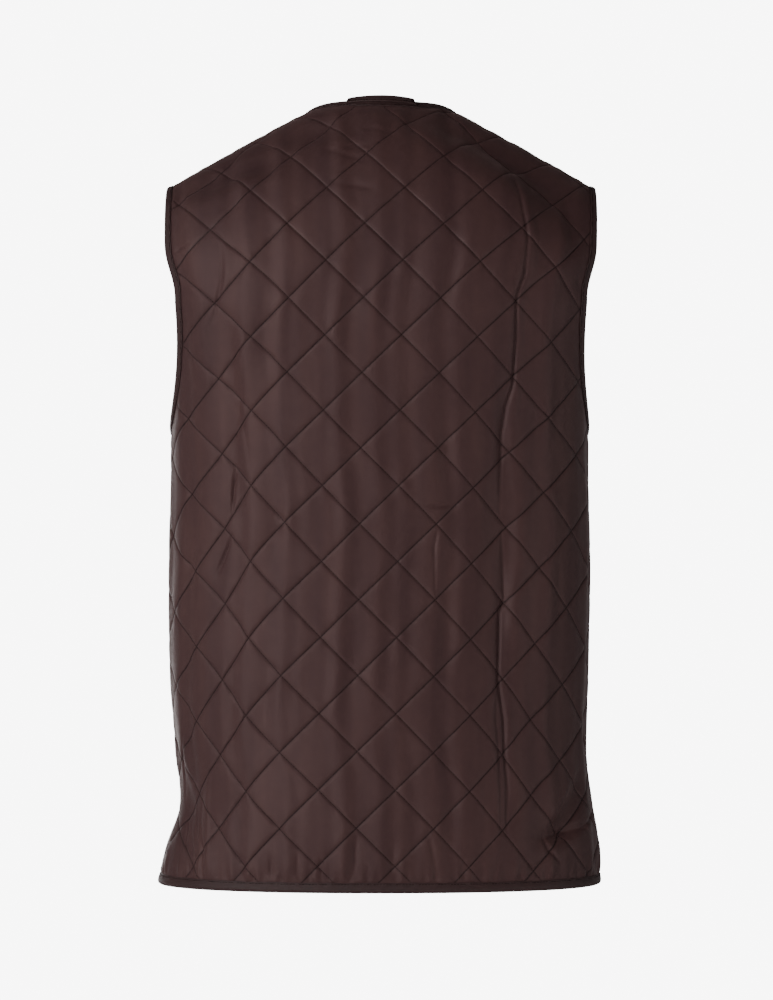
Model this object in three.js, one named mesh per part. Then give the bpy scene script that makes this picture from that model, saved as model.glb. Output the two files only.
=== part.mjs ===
// A quilted sleeveless vest, hollow and standing out as it does when worn open.
// Millimetres. +Z is up, the fronts face -Y and +X is the wearer's left.
// The origin is where the shoulders carry it: midway between the two neck points, level with them.
//
// The vest is made as a tailor makes it. A form gives the shape that the worn cloth takes. Each panel is
// quilted cloth, cut in flat pattern coordinates (girth, rise) and laid on the form. Girth runs level from
// the centre line towards the wearer's left, and rise runs up from the hem. Bindings follow the panels'
// edges, and a hanger loop sits on the back neck.
import * as THREE from 'three';

// Sizes of the whole garment.
const BACK_LENGTH = 762;        // neck point down to the hem
const NECK_HALF = 63;           // centre to the neck point, on the shoulder ridge
const SHOULDER_HALF = 210;      // centre to the shoulder tip
const SHOULDER_DROP = 80;       // shoulder tip below the neck point
const RIDGE_EASE = 40;          // the two shoulder lines would meet in a curve about this wide
const CHEST_LEVEL = -192;       // above this the cloth leaves the level sections and closes over the top
const SHOULDER_SPREAD = 0.05;   // how much the top stands wider than the section at chest level
const SPREAD_SHARE = 0.55;      // share of the way up to the ridge over which it spreads
const SHOULDER_ROUNDING = 2.25; // exponent of the curve from the chest level up to the ridge

// The cloth.
const WALL = 3;                 // two layers and flattened wadding, at a stitch line
const PUFF = 5;                 // how far the wadding stands out in the middle of a square
const PUFF_FULLNESS = 0.45;     // under 1, the wadding rises steeply at the stitches and is flat inside
const QUILT_SIDE = 52;          // side of one quilted square, which stands on its corner
const QUILT_LEAN = 0.0126;      // the quilting leans this much off the vertical, in radians
const QUILT_SAG = 7;            // the quilting hangs this much lower near the side seams
const SAG_GIRTH = 250;          // girth at which it hangs that much lower
const QUILT_STOPS = [0, 0.24, 0.76, 1]; // where a square is divided, from one stitch line to the next
const SEAM_GAP = 0.3;           // between two panels at a seam
const BINDING_GAP = 0.4;        // between a binding and the pieces beside it
const PINCH = 16;               // the wadding flattens over this distance from a bound or sewn edge

// Bindings and the hanger loop.
const BINDING_WIDTH = 10;
const BINDING_INSIDE = -1.2;    // inner face of a folded binding, from the wall's inner face
const BINDING_OUTSIDE = 4.4;    // its outer face
const LOOP_LENGTH = 61;
const LOOP_HEIGHT = 8.5;
const LOOP_THICKNESS = 1.8;
const LOOP_PROUD = 3;           // how far the loop's middle stands above the neck edge
const LOOP_END = 0.6;           // how far its ends start below the edge

// The cut of the armholes, the neck and the front opening. ARMHOLE_REACH is from the centre to the edge
// where the panel is narrowest, followed up to the ridge.
const ARMPIT_LEVEL = -310;
const ARMHOLE_TURN = { back: 110, front: 125 };      // height over which the armhole scoops to the side seam
const ARMHOLE_REACH = { back: 208, front: 196 };
const NECK_V_LEVEL = -227;      // where the front neckline ends at the front opening
const NECK_V_BEND = 1.22;       // over 1, the V leaves the neck point upright and then slants
const NAPE_LEVEL = 4;           // height of the back neck edge at the centre
const FRONT_GAP_TOP = 7;        // half of the opening between the fronts, at the foot of the V
const FRONT_GAP_HEM = 17;       // half of it at the hem

// Level sections of the form, inside the cloth. left and right are half widths, back and front are
// depths from the side seams, and square is 2 for an ellipse and more for a boxier section.
const SECTIONS = [
  { z: -762, left: 217, right: 213, back: 124, front: 123, square: 2.25 },
  { z: -727, left: 209, right: 212, back: 122, front: 123, square: 2.25 },
  { z: -684, left: 195, right: 205, back: 120, front: 122, square: 2.3 },
  { z: -632, left: 199, right: 199, back: 118, front: 121, square: 2.35 },
  { z: -552, left: 205, right: 201, back: 115, front: 119, square: 2.4 },
  { z: -442, left: 206, right: 203, back: 113, front: 117, square: 2.4 },
  { z: -332, left: 204, right: 201, back: 117, front: 117, square: 2.4 },
  { z: -262, left: 207, right: 204, back: 121, front: 118, square: 2.6 },
  { z: CHEST_LEVEL, left: 215, right: 212, back: 123, front: 116, square: 3 },
];

// The largest folds, as soft troughs pressed into the cloth, each along a path of pattern coordinates.
const FOLDS = {
  back: [
    { depth: 7, half: 13, path: [[-136, 716], [-146, 613], [-133, 503], [-122, 436], [-117, 371], [-121, 320],
      [-117, 263], [-120, 212], [-128, 138], [-131, 76]] },
    { depth: 4.5, half: 13, path: [[160, 632], [160, 586], [154, 534], [145, 455], [144, 405], [147, 366]] },
    { depth: 5.5, half: 12, path: [[149, 342], [165, 300]] },
    { depth: 5, half: 14, path: [[214, 118], [206, 60], [205, 16]] },
    { depth: 5, half: 13, path: [[-212, 100], [-186, 62], [-160, 52]] },
  ],
  front: [
    { depth: 6, half: 14, path: [[128, 600], [118, 500], [122, 380], [114, 260], [118, 120]] },
    { depth: 4.5, half: 13, path: [[192, 470], [184, 380], [190, 270]] },
    { depth: 5.5, half: 14, path: [[-134, 560], [-124, 430], [-126, 310], [-118, 190], [-124, 90]] },
    { depth: 4.5, half: 13, path: [[-190, 440], [-198, 330], [-188, 230]] },
  ],
};
const FOLD_END = 0.38;          // share of a fold's full depth that is left at its two ends

// One crossing of the stitch lines on each panel, which sets where the quilting falls.
const QUILT_ANCHOR = {
  back: [17, 357.5],
  front_left: [52, 340],
  front_right: [-60, 322],
};

// Fineness of the model.
const SECTION_STEPS = 64;       // steps in a quarter of a section
const THREAD_STEPS = 48;        // steps from the chest level to the ridge
const BINDING_STEPS = { turn: 10, up: 16, opening: 16, neck: 20, nape: 8, hemFront: 12, hemBack: 26 };
const CUT_STEPS = { turn: 24, up: 24, opening: 12, neck: 40, nape: 24 };
const LOOP_STEPS = 12;
const PROBE = 0.5;              // distance over which slopes are measured
const ON_EDGE = 0.08;           // a point this near a cut line counts as on it
const HALVINGS = 40;            // halvings that close in on a crossing
const CUT_REFINEMENTS = 3;      // how many times a cut edge inside one cell may be halved
const CUT_TOLERANCE = 0.1;      // an edge this straight is not halved
const LONGEST_CUT = 18;         // unless it is longer than this
const SMALLEST_CELL = 0.5;      // area under which a trimmed cell is dropped
const PATTERN_REACH = 320;      // the pattern lies within this girth
const PATTERN_HEIGHT = 900;     // and below this rise

const CHEST_RISE = CHEST_LEVEL + BACK_LENGTH;
const ARMPIT_RISE = ARMPIT_LEVEL + BACK_LENGTH;
const NECK_V_RISE = NECK_V_LEVEL + BACK_LENGTH;
const BOUND = BINDING_WIDTH + BINDING_GAP;
const QUARTER_TURN = Math.PI / 2;
const { lerp, clamp, smoothstep, smootherstep } = THREE.MathUtils;

// The form.

const COLUMNS = ['left', 'right', 'back', 'front', 'square'];
const sectionCurve = new THREE.CubicInterpolant(
  SECTIONS.map((row) => row.z),
  SECTIONS.flatMap((row) => COLUMNS.map((name) => row[name])),
  COLUMNS.length,
);

function sectionAt(z) {
  const values = sectionCurve.evaluate(clamp(z, -BACK_LENGTH, CHEST_LEVEL));
  return Object.fromEntries(COLUMNS.map((name, i) => [name, values[i]]));
}

// Keeps what a function gives for each key, so that it is worked out once.
function remembered(work) {
  const known = new Map();
  return (...keys) => {
    const key = keys.map((value) => (typeof value === 'number' ? value.toFixed(3) : value)).join(' ');
    if (!known.has(key)) known.set(key, work(...keys));
    return known.get(key);
  };
}

// One quarter of a level section, as points with their girth from the centre line. side is 1 or -1.
const quarterAt = remembered((z, face, side) => {
  const section = sectionAt(z);
  const width = side > 0 ? section.left : section.right;
  const depth = section[face];
  const quarter = [];
  for (let i = 0; i <= SECTION_STEPS; i++) {
    const angle = (i / SECTION_STEPS) * QUARTER_TURN;
    const sum = (Math.sin(angle) / width) ** section.square + (Math.cos(angle) / depth) ** section.square;
    const reach = sum ** (-1 / section.square);
    const x = reach * Math.sin(angle);
    const y = reach * Math.cos(angle);
    const step = i > 0 ? Math.hypot(x - quarter[i - 1].x, y - quarter[i - 1].y) : 0;
    quarter.push({ x, y, girth: i > 0 ? quarter[i - 1].girth + step : 0 });
  }
  return quarter;
});

// Finds a value in one rising column of a list. The last stretch goes on past the end.
function findIn(list, column, value) {
  let i = 1;
  while (i < list.length - 1 && column(list[i]) < value) i++;
  const [low, high] = [list[i - 1], list[i]];
  return { low, high, share: (value - column(low)) / (column(high) - column(low)) };
}

// The girth from the centre line to the side seam.
function sideGirth(z, face, side) {
  return quarterAt(z, face, side)[SECTION_STEPS].girth;
}

function sectionPoint(z, face, girth) {
  const side = girth < 0 ? -1 : 1;
  const { low, high, share } = findIn(quarterAt(z, face, side), (point) => point.girth, Math.abs(girth));
  const outwards = face === 'back' ? 1 : -1;
  return { x: side * lerp(low.x, high.x, share), y: outwards * lerp(low.y, high.y, share) };
}

// Height of the shoulder ridge at a distance from the centre.
function ridgeHeight(x) {
  const arc = (distance) => Math.hypot(distance, RIDGE_EASE);
  return (-SHOULDER_DROP * (arc(x) - arc(NECK_HALF))) / (arc(SHOULDER_HALF) - arc(NECK_HALF));
}

// A thread of the cloth from the chest level up to the ridge, as points with their length so far.
const threadAt = remembered((face, girth) => {
  const foot = sectionPoint(CHEST_LEVEL, face, girth);
  const top = ridgeHeight(foot.x * (1 + SHOULDER_SPREAD));
  const thread = [];
  for (let i = 0; i <= THREAD_STEPS; i++) {
    const angle = (i / THREAD_STEPS) * QUARTER_TURN;
    const up = Math.sin(angle) ** (2 / SHOULDER_ROUNDING);
    const out = Math.max(Math.cos(angle), 0) ** (2 / SHOULDER_ROUNDING);
    const spread = SHOULDER_SPREAD * smootherstep(up, 0, SPREAD_SHARE);
    const point = new THREE.Vector3(foot.x * (1 + spread), foot.y * out, lerp(CHEST_LEVEL, top, up));
    thread.push({ point, length: i > 0 ? thread[i - 1].length + point.distanceTo(thread[i - 1].point) : 0 });
  }
  return thread;
});

// The rise of the shoulder ridge at a girth.
function ridgeRise(face, girth) {
  return CHEST_RISE + threadAt(face, girth)[THREAD_STEPS].length;
}

// The rise at which a thread reaches a height.
function riseAtHeight(face, girth, z) {
  const { low, high, share } = findIn(threadAt(face, girth), ({ point }) => point.z, z);
  return CHEST_RISE + lerp(low.length, high.length, share);
}

// The girth of the thread that ends at a distance from the centre on the ridge.
function girthAtRidge(face, side, x) {
  const foot = x / (1 + SHOULDER_SPREAD);
  const { low, high, share } = findIn(quarterAt(CHEST_LEVEL, face, side), (point) => point.x, foot);
  return lerp(low.girth, high.girth, share);
}

function formPoint(face, girth, rise) {
  if (rise <= CHEST_RISE) {
    const z = rise - BACK_LENGTH;
    const { x, y } = sectionPoint(z, face, girth);
    return new THREE.Vector3(x, y, z);
  }
  const { low, high, share } = findIn(threadAt(face, girth), ({ length }) => length, rise - CHEST_RISE);
  return low.point.clone().lerp(high.point, share);
}

function formNormal(face, girth, rise) {
  const across = formPoint(face, girth + PROBE, rise).sub(formPoint(face, girth - PROBE, rise));
  const upward = formPoint(face, girth, rise + PROBE).sub(formPoint(face, girth, rise - PROBE));
  const normal = face === 'back' ? upward.cross(across) : across.cross(upward);
  return normal.normalize();
}

// Distance from a place to a path, and how far along the path the nearest point lies, from 0 to 1.
function nearestOnPath([girth, rise], path) {
  let nearest = { distance: Infinity, along: 0 };
  for (let i = 1; i < path.length; i++) {
    const [ax, ay] = path[i - 1];
    const [bx, by] = path[i];
    const length2 = (bx - ax) ** 2 + (by - ay) ** 2;
    const share = clamp(((girth - ax) * (bx - ax) + (rise - ay) * (by - ay)) / length2, 0, 1);
    const distance = Math.hypot(girth - lerp(ax, bx, share), rise - lerp(ay, by, share));
    if (distance < nearest.distance) nearest = { distance, along: (i - 1 + share) / (path.length - 1) };
  }
  return nearest;
}

// How far the folds press the cloth in.
function foldDepth(face, place) {
  return FOLDS[face].reduce((sum, { depth, half, path }) => {
    const { distance, along } = nearestOnPath(place, path);
    const taper = lerp(FOLD_END, 1, Math.sin(Math.PI * along));
    return sum + depth * taper * Math.exp(-((distance / half) ** 2));
  }, 0);
}

// A place on the cloth. out is the distance outwards from the wall's inner face.
function clothPoint(face, place, out) {
  return formPoint(face, ...place).addScaledVector(formNormal(face, ...place), out - foldDepth(face, place));
}

// The garment's edges, as lines in pattern coordinates.

// The armhole from the side seam up to the shoulder tip.
function armholeLine(face, side, steps) {
  const seam = sideGirth(ARMPIT_LEVEL, face, side);
  const narrow = girthAtRidge(face, side, ARMHOLE_REACH[face]);
  const tip = girthAtRidge(face, side, SHOULDER_HALF);
  const turned = ARMPIT_RISE + ARMHOLE_TURN[face];
  const top = ridgeRise(face, side * tip);
  const line = [];
  for (let i = 0; i <= steps.turn; i++) {
    const angle = (i / steps.turn) * QUARTER_TURN;
    line.push([side * lerp(seam, narrow, Math.sin(angle)), lerp(turned, ARMPIT_RISE, Math.cos(angle))]);
  }
  for (let i = 1; i <= steps.up; i++) {
    const share = i / steps.up;
    line.push([side * lerp(narrow, tip, smoothstep(share, 0, 1)), lerp(turned, top, share)]);
  }
  return line;
}

// The back neckline from the right neck point to the left one.
function napeLine(steps) {
  const centre = riseAtHeight('back', 0, NAPE_LEVEL);
  const line = [];
  for (let i = -steps; i <= steps; i++) {
    const angle = (i / steps) * QUARTER_TURN;
    const neck = girthAtRidge('back', i < 0 ? -1 : 1, NECK_HALF);
    const top = ridgeRise('back', Math.sign(i) * neck);
    line.push([neck * Math.sin(angle), lerp(top, centre, Math.cos(angle))]);
  }
  return line;
}

// The front edge from the hem up the opening and along the V to the neck point.
function frontEdgeLine(side, steps) {
  const neck = girthAtRidge('front', side, NECK_HALF);
  const top = ridgeRise('front', side * neck);
  const line = [];
  for (let i = 0; i < steps.opening; i++) {
    const share = i / steps.opening;
    line.push([side * lerp(FRONT_GAP_HEM, FRONT_GAP_TOP, share), NECK_V_RISE * share]);
  }
  for (let i = 0; i <= steps.neck; i++) {
    const down = 1 - i / steps.neck;
    line.push([side * lerp(neck, FRONT_GAP_TOP, down ** NECK_V_BEND), lerp(top, NECK_V_RISE, down)]);
  }
  return line;
}

function hemLine(from, to, steps) {
  return Array.from({ length: steps + 1 }, (_, i) => [lerp(from, to, i / steps), 0]);
}

// The panels' outlines. A cut is a function that says how far inside it a place lies, negative outside.

// Distance from a line, positive on its left. The line goes on straight past both ends.
function leftOf(line) {
  return ([girth, rise]) => {
    let nearest = Infinity;
    let left = 1;
    for (let i = 1; i < line.length; i++) {
      const [ax, ay] = line[i - 1];
      const [bx, by] = line[i];
      const length2 = (bx - ax) ** 2 + (by - ay) ** 2;
      const along = ((girth - ax) * (bx - ax) + (rise - ay) * (by - ay)) / length2;
      const share = clamp(along, i === 1 ? -Infinity : 0, i === line.length - 1 ? Infinity : 1);
      const distance = Math.hypot(girth - ax - share * (bx - ax), rise - ay - share * (by - ay));
      if (distance < nearest) {
        nearest = distance;
        left = Math.sign((bx - ax) * (rise - ay) - (by - ay) * (girth - ax));
      }
    }
    return nearest * left;
  };
}

// A bound edge stops the panel a binding's width from the line. The panel is on the line's left if turn is 1.
function boundEdge(line, turn) {
  const left = leftOf(line);
  return (place) => turn * left(place) - BOUND;
}

// The armhole's line starts level, from well outside the side seam.
function armholeCut(face, side) {
  const line = armholeLine(face, side, CUT_STEPS);
  return boundEdge([[side * PATTERN_REACH, ARMPIT_RISE], ...line], side);
}

function hemCut([, rise]) {
  return rise - BOUND;
}

function shoulderCut(face) {
  return ([girth, rise]) => ridgeRise(face, girth) - SEAM_GAP / 2 - rise;
}

function sideCut(face, side) {
  return ([girth, rise]) => {
    const level = Math.min(rise - BACK_LENGTH, CHEST_LEVEL);
    return sideGirth(level, face, side) - SEAM_GAP / 2 - side * girth;
  };
}

function frontPanel(side) {
  const edge = boundEdge(frontEdgeLine(side, CUT_STEPS), -side);
  const cuts = [hemCut, shoulderCut('front'), sideCut('front', side), armholeCut('front', side), edge];
  return { face: 'front', cuts };
}

const BACK_CUTS = [
  hemCut, shoulderCut('back'), boundEdge(napeLine(CUT_STEPS.nape), -1),
  ...[1, -1].flatMap((side) => [sideCut('back', side), armholeCut('back', side)]),
];

const PANELS = {
  back: { face: 'back', cuts: BACK_CUTS },
  front_left: frontPanel(1),
  front_right: frontPanel(-1),
};

// Quilting. Its coordinates are two numbers, each whole on one family of stitch lines.

function sagAt(girth) {
  return QUILT_SAG * (girth / SAG_GIRTH) ** 2;
}

function quiltCoordinates([girth, rise], [anchorGirth, anchorRise]) {
  const place = new THREE.Vector2(girth - anchorGirth, rise + sagAt(girth) - anchorRise);
  const turned = place.rotateAround(new THREE.Vector2(), -QUILT_LEAN - Math.PI / 4);
  return [turned.x / QUILT_SIDE, turned.y / QUILT_SIDE];
}

function quiltPlace([i, j], [anchorGirth, anchorRise]) {
  const place = new THREE.Vector2(i * QUILT_SIDE, j * QUILT_SIDE);
  const { x, y } = place.rotateAround(new THREE.Vector2(), QUILT_LEAN + Math.PI / 4);
  return [anchorGirth + x, anchorRise + y - sagAt(anchorGirth + x)];
}

// How far the wadding stands out between its stitch lines, from 0 to 1.
function puffShare(place, anchor) {
  const [i, j] = quiltCoordinates(place, anchor).map((value) => value - Math.floor(value));
  return (4 * i * (1 - i) * 4 * j * (1 - j)) ** PUFF_FULLNESS;
}

// Trimming a panel's cells to its outline.

// The crossing of an edge with a cut, the same from either end.
function crossing(a, b, cut) {
  let [inside, outside] = cut(a) > 0 ? [a, b] : [b, a];
  for (let i = 0; i < HALVINGS; i++) {
    const middle = [(inside[0] + outside[0]) / 2, (inside[1] + outside[1]) / 2];
    if (cut(middle) > 0) inside = middle;
    else outside = middle;
  }
  return inside;
}

// How far a cut edge bends within the cloth between two places, once it lies on the form.
function bendOf(face, a, middle, b) {
  const chord = formPoint(face, ...a).add(formPoint(face, ...b)).multiplyScalar(0.5);
  return formPoint(face, ...middle).sub(chord).projectOnPlane(formNormal(face, ...middle)).length();
}

// Points between two ends of a cut edge, moved onto the cut, as many as its bend asks for.
function bentEdge(face, a, b, cut, times) {
  const run = [b[0] - a[0], b[1] - a[1]];
  const middle = [a[0] + run[0] / 2, a[1] + run[1] / 2];
  const low = [middle[0] + run[1] / 3, middle[1] - run[0] / 3];
  const high = [middle[0] - run[1] / 3, middle[1] + run[0] / 3];
  if (times === 0 || cut(low) > 0 === cut(high) > 0) return [];
  const bent = crossing(low, high, cut);
  if (bendOf(face, a, bent, b) < CUT_TOLERANCE && Math.hypot(...run) < LONGEST_CUT) return [];
  return [...bentEdge(face, a, bent, cut, times - 1), bent, ...bentEdge(face, bent, b, cut, times - 1)];
}

// The part of a cell that lies inside one cut.
function trimCell(face, cell, cut) {
  const depthOf = (place) => (Math.abs(cut(place)) < ON_EDGE ? 0 : cut(place));
  const start = cell.findIndex((place) => depthOf(place) > 0);
  if (start < 0) return [];
  const turned = [...cell.slice(start), ...cell.slice(0, start)];
  const depths = turned.map(depthOf);
  if (depths.every((depth) => depth >= 0)) return cell;
  const kept = [];
  turned.forEach((place, i) => {
    const next = (i + 1) % turned.length;
    if (depths[i] >= 0) kept.push(place);
    if (depths[i] > 0 && depths[next] < 0) kept.push(crossing(place, turned[next], cut));
    if (depths[i] < 0 && depths[next] >= 0) {
      const entering = depths[next] > 0 ? crossing(place, turned[next], cut) : turned[next];
      kept.push(...bentEdge(face, kept[kept.length - 1], entering, cut, CUT_REFINEMENTS));
      if (depths[next] > 0) kept.push(entering);
    }
  });
  return kept;
}

// The parts of one quilted square, before it is trimmed.
function squareCells(i, j, anchor) {
  const cells = [];
  for (let k = 1; k < QUILT_STOPS.length; k++) {
    for (let m = 1; m < QUILT_STOPS.length; m++) {
      const corners = [[k - 1, m - 1], [k, m - 1], [k, m], [k - 1, m]];
      cells.push(corners.map(([u, v]) => quiltPlace([i + QUILT_STOPS[u], j + QUILT_STOPS[v]], anchor)));
    }
  }
  return cells;
}

// All cells of a panel.
function panelCells({ face, cuts }, anchor) {
  const reach = Math.ceil(PATTERN_HEIGHT / QUILT_SIDE);
  const cells = [];
  for (let i = -reach; i < reach; i++) {
    for (let j = -reach; j < reach; j++) {
      const [girth, rise] = quiltPlace([i + 0.5, j + 0.5], anchor);
      if (Math.abs(girth) > PATTERN_REACH || rise < -QUILT_SIDE || rise > PATTERN_HEIGHT) continue;
      for (const cell of squareCells(i, j, anchor)) {
        const trimmed = cuts.reduce((rest, cut) => (rest.length > 2 ? trimCell(face, rest, cut) : []), cell);
        const contour = trimmed.map(([x, y]) => new THREE.Vector2(x, y));
        if (contour.length > 2 && THREE.ShapeUtils.area(contour) > SMALLEST_CELL) cells.push(contour);
      }
    }
  }
  return cells;
}

// Joins two like layers of points into one closed wall, with a rim between their edges.
function wallBetween(inner, outer, triangles) {
  const count = inner.length;
  const edges = new Set(triangles.flatMap(([a, b, c]) => [`${a} ${b}`, `${b} ${c}`, `${c} ${a}`]));
  const faces = [];
  for (const [a, b, c] of triangles) {
    faces.push(count + a, count + b, count + c, a, c, b);
    for (const [from, to] of [[a, b], [b, c], [c, a]]) {
      if (edges.has(`${to} ${from}`)) continue;
      faces.push(count + to, count + from, from, count + to, from, to);
    }
  }
  return closedGeometry([...inner, ...outer], faces);
}

// A closed body from points and faces, turned so that its faces point out.
function closedGeometry(points, faces) {
  let volume = 0;
  for (let i = 0; i < faces.length; i += 3) {
    const [a, b, c] = [points[faces[i]], points[faces[i + 1]], points[faces[i + 2]]];
    volume += a.dot(b.clone().cross(c));
  }
  const geometry = new THREE.BufferGeometry().setFromPoints(points);
  geometry.setIndex(volume > 0 ? faces : faces.reverse());
  return geometry;
}

// A panel: quilted points outside and plain points inside.
function panelGeometry(panel, anchor) {
  const places = [];
  const numbers = new Map();
  const numberOf = ({ x, y }) => {
    const key = `${x.toFixed(2)} ${y.toFixed(2)}`;
    if (!numbers.has(key)) numbers.set(key, places.push([x, y]) - 1);
    return numbers.get(key);
  };
  const triangles = panelCells(panel, anchor).flatMap((contour) =>
    THREE.ShapeUtils.triangulateShape(contour, []).map((corners) => corners.map((k) => numberOf(contour[k]))),
  ).filter((triangle) => new Set(triangle).size === 3);
  const outOf = (place) => {
    const edge = Math.min(...panel.cuts.map((cut) => cut(place)));
    return WALL + PUFF * smoothstep(edge, 0, PINCH) * puffShare(place, anchor);
  };
  const inner = places.map((place) => clothPoint(panel.face, place, 0));
  const outer = places.map((place) => clothPoint(panel.face, place, outOf(place)));
  return wallBetween(inner, outer, triangles);
}

// Bindings and the loop.

// A place moved in from point i of a line, to the line's left if turn is 1, and on the ridge along it.
function movedIn(face, line, i, turn, inwards) {
  const [girth, rise] = line[i];
  if (rise > ridgeRise(face, girth) - ON_EDGE) {
    const towardsTip = Math.abs(girth) < SHOULDER_HALF / 2 ? 1 : -1;
    const moved = girth + inwards * Math.sign(girth) * towardsTip;
    return [moved, ridgeRise(face, moved)];
  }
  const before = line[Math.max(i - 1, 0)];
  const after = line[Math.min(i + 1, line.length - 1)];
  const run = [after[0] - before[0], after[1] - before[1]];
  const share = (turn * inwards) / Math.hypot(...run);
  return [girth - run[1] * share, rise + run[0] * share];
}

// The outline of a folded tape: how far in from the edge, and how far out from the wall's inner face.
const BINDING_SECTION = [
  { inwards: 0.4, out: BINDING_INSIDE + 0.8 },
  { inwards: 0, out: 1.6 },
  { inwards: 0.8, out: BINDING_OUTSIDE - 0.7 },
  { inwards: 3, out: BINDING_OUTSIDE },
  { inwards: BINDING_WIDTH - 0.6, out: BINDING_OUTSIDE - 0.5 },
  { inwards: BINDING_WIDTH, out: BINDING_INSIDE + 0.6 },
  { inwards: 4, out: BINDING_INSIDE },
];

function bindingRings(face, line, turn) {
  return line.map((_, i) =>
    BINDING_SECTION.map(({ inwards, out }) => clothPoint(face, movedIn(face, line, i, turn, inwards), out)));
}

// A body through rings of points, closed into a loop or with flat ends.
function sweptGeometry(rings, looped) {
  const size = rings[0].length;
  const faces = [];
  for (let i = looped ? 0 : 1; i < rings.length; i++) {
    const here = ((i + rings.length - 1) % rings.length) * size;
    const next = i * size;
    for (let k = 0; k < size; k++) {
      const m = (k + 1) % size;
      faces.push(here + k, next + k, next + m, here + k, next + m, here + m);
    }
  }
  const end = (rings.length - 1) * size;
  for (let k = 1; k < size - 1 && !looped; k++) faces.push(0, k, k + 1, end, end + k + 1, end + k);
  return closedGeometry(rings.flat(), faces);
}

function armholeBinding(side) {
  const [back, front] = ['back', 'front'].map((face) =>
    bindingRings(face, armholeLine(face, side, BINDING_STEPS), side));
  return sweptGeometry([...back, ...front.slice(1, -1).reverse()], true);
}

// From one front's hem up round the back neck and down to the other's.
function neckBinding() {
  const left = bindingRings('front', frontEdgeLine(1, BINDING_STEPS), -1);
  const nape = bindingRings('back', napeLine(BINDING_STEPS.nape), -1);
  const right = bindingRings('front', frontEdgeLine(-1, BINDING_STEPS), 1);
  return sweptGeometry([...left, ...nape.reverse().slice(1, -1), ...right.reverse()], false);
}

// From the left front's edge round the back to the right front's.
function hemBinding() {
  const start = FRONT_GAP_HEM + BOUND;
  const seam = (face, side) => side * sideGirth(-BACK_LENGTH, face, side);
  const left = hemLine(start, seam('front', 1), BINDING_STEPS.hemFront);
  const back = hemLine(seam('back', 1), seam('back', -1), BINDING_STEPS.hemBack);
  const right = hemLine(seam('front', -1), -start, BINDING_STEPS.hemFront);
  return sweptGeometry([
    ...bindingRings('front', left, 1),
    ...bindingRings('back', back, -1).slice(1, -1),
    ...bindingRings('front', right, 1),
  ], false);
}

// A flat tape against the outside of the neck binding. Its middle stands above the edge.
function hangerLoop() {
  const reach = Math.asin(LOOP_LENGTH / 2 / NECK_HALF) / QUARTER_TURN;
  const steps = Math.round(LOOP_STEPS / 2 / reach);
  const line = napeLine(steps).slice(steps - LOOP_STEPS / 2, steps + LOOP_STEPS / 2 + 1);
  const inner = BINDING_OUTSIDE + BINDING_GAP;
  const outer = inner + LOOP_THICKNESS;
  const rings = line.map((_, i) => {
    const upper = LOOP_END - LOOP_PROUD * Math.sin((Math.PI * i) / LOOP_STEPS) ** 0.5;
    const lower = upper + LOOP_HEIGHT;
    const corners = [[upper, inner], [upper, outer], [lower, outer], [lower, inner]];
    return corners.map(([inwards, out]) => clothPoint('back', movedIn('back', line, i, -1, inwards), out));
  });
  return sweptGeometry(rings, false);
}

// The vest.

const shellCloth = new THREE.MeshStandardMaterial({ color: 0x43302f, roughness: 0.55, metalness: 0 });
const tapeCloth = new THREE.MeshStandardMaterial({ color: 0x3a2727, roughness: 0.7, metalness: 0 });

const vest = new THREE.Group();

function addPiece(name, geometry, material) {
  const piece = new THREE.Mesh(geometry, material);
  piece.name = name;
  vest.add(piece);
}

for (const [name, panel] of Object.entries(PANELS)) {
  addPiece(`${name}_panel`, panelGeometry(panel, QUILT_ANCHOR[name]), shellCloth);
}
addPiece('neck_and_front_binding', neckBinding(), tapeCloth);
addPiece('hem_binding', hemBinding(), tapeCloth);
addPiece('armhole_binding_left', armholeBinding(1), tapeCloth);
addPiece('armhole_binding_right', armholeBinding(-1), tapeCloth);
addPiece('hanger_loop', hangerLoop(), tapeCloth);

export default vest;
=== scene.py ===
"""Dresses the quilted vest: cloth, bindings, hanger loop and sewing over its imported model.

Metres. +Z is up, the fronts face -Y and +X is the wearer's left. Each panel starts as a flat quilted
sheet in pattern coordinates, girth across from the centre line and rise up from the hem. It is cut along
its outline, given a second layer, and laid on the form that the worn cloth takes.
"""

import math

import bmesh
import bpy
import numpy as np
from bpy.props import FloatProperty, FloatVectorProperty, IntProperty, PointerProperty
from bpy.types import Operator, Panel, PropertyGroup
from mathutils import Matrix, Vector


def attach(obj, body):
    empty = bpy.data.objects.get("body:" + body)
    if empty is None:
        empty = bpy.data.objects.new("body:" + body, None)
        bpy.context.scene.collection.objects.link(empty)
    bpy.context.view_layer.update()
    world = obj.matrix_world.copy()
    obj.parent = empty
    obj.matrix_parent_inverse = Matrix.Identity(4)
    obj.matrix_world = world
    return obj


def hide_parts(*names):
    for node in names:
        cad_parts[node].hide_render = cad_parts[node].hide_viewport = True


bl_info = {
    "name": "Quilted Vest",
    "version": (1, 0, 0),
    "blender": (4, 5, 0),
    "location": "3D Viewport > Sidebar > Vest",
    "description": "Builds the cloth, bindings and sewing of a quilted vest over its packed model",
    "category": "Object",
}

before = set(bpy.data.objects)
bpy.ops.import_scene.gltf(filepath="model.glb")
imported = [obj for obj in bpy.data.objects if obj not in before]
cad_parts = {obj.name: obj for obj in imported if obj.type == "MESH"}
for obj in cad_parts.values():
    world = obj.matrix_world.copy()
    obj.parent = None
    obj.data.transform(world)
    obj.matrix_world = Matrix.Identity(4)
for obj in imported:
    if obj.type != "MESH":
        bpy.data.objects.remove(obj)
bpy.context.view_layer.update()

BODY = "root"
FACES = ("back", "front")
QUARTER_TURN = math.pi / 2


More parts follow.
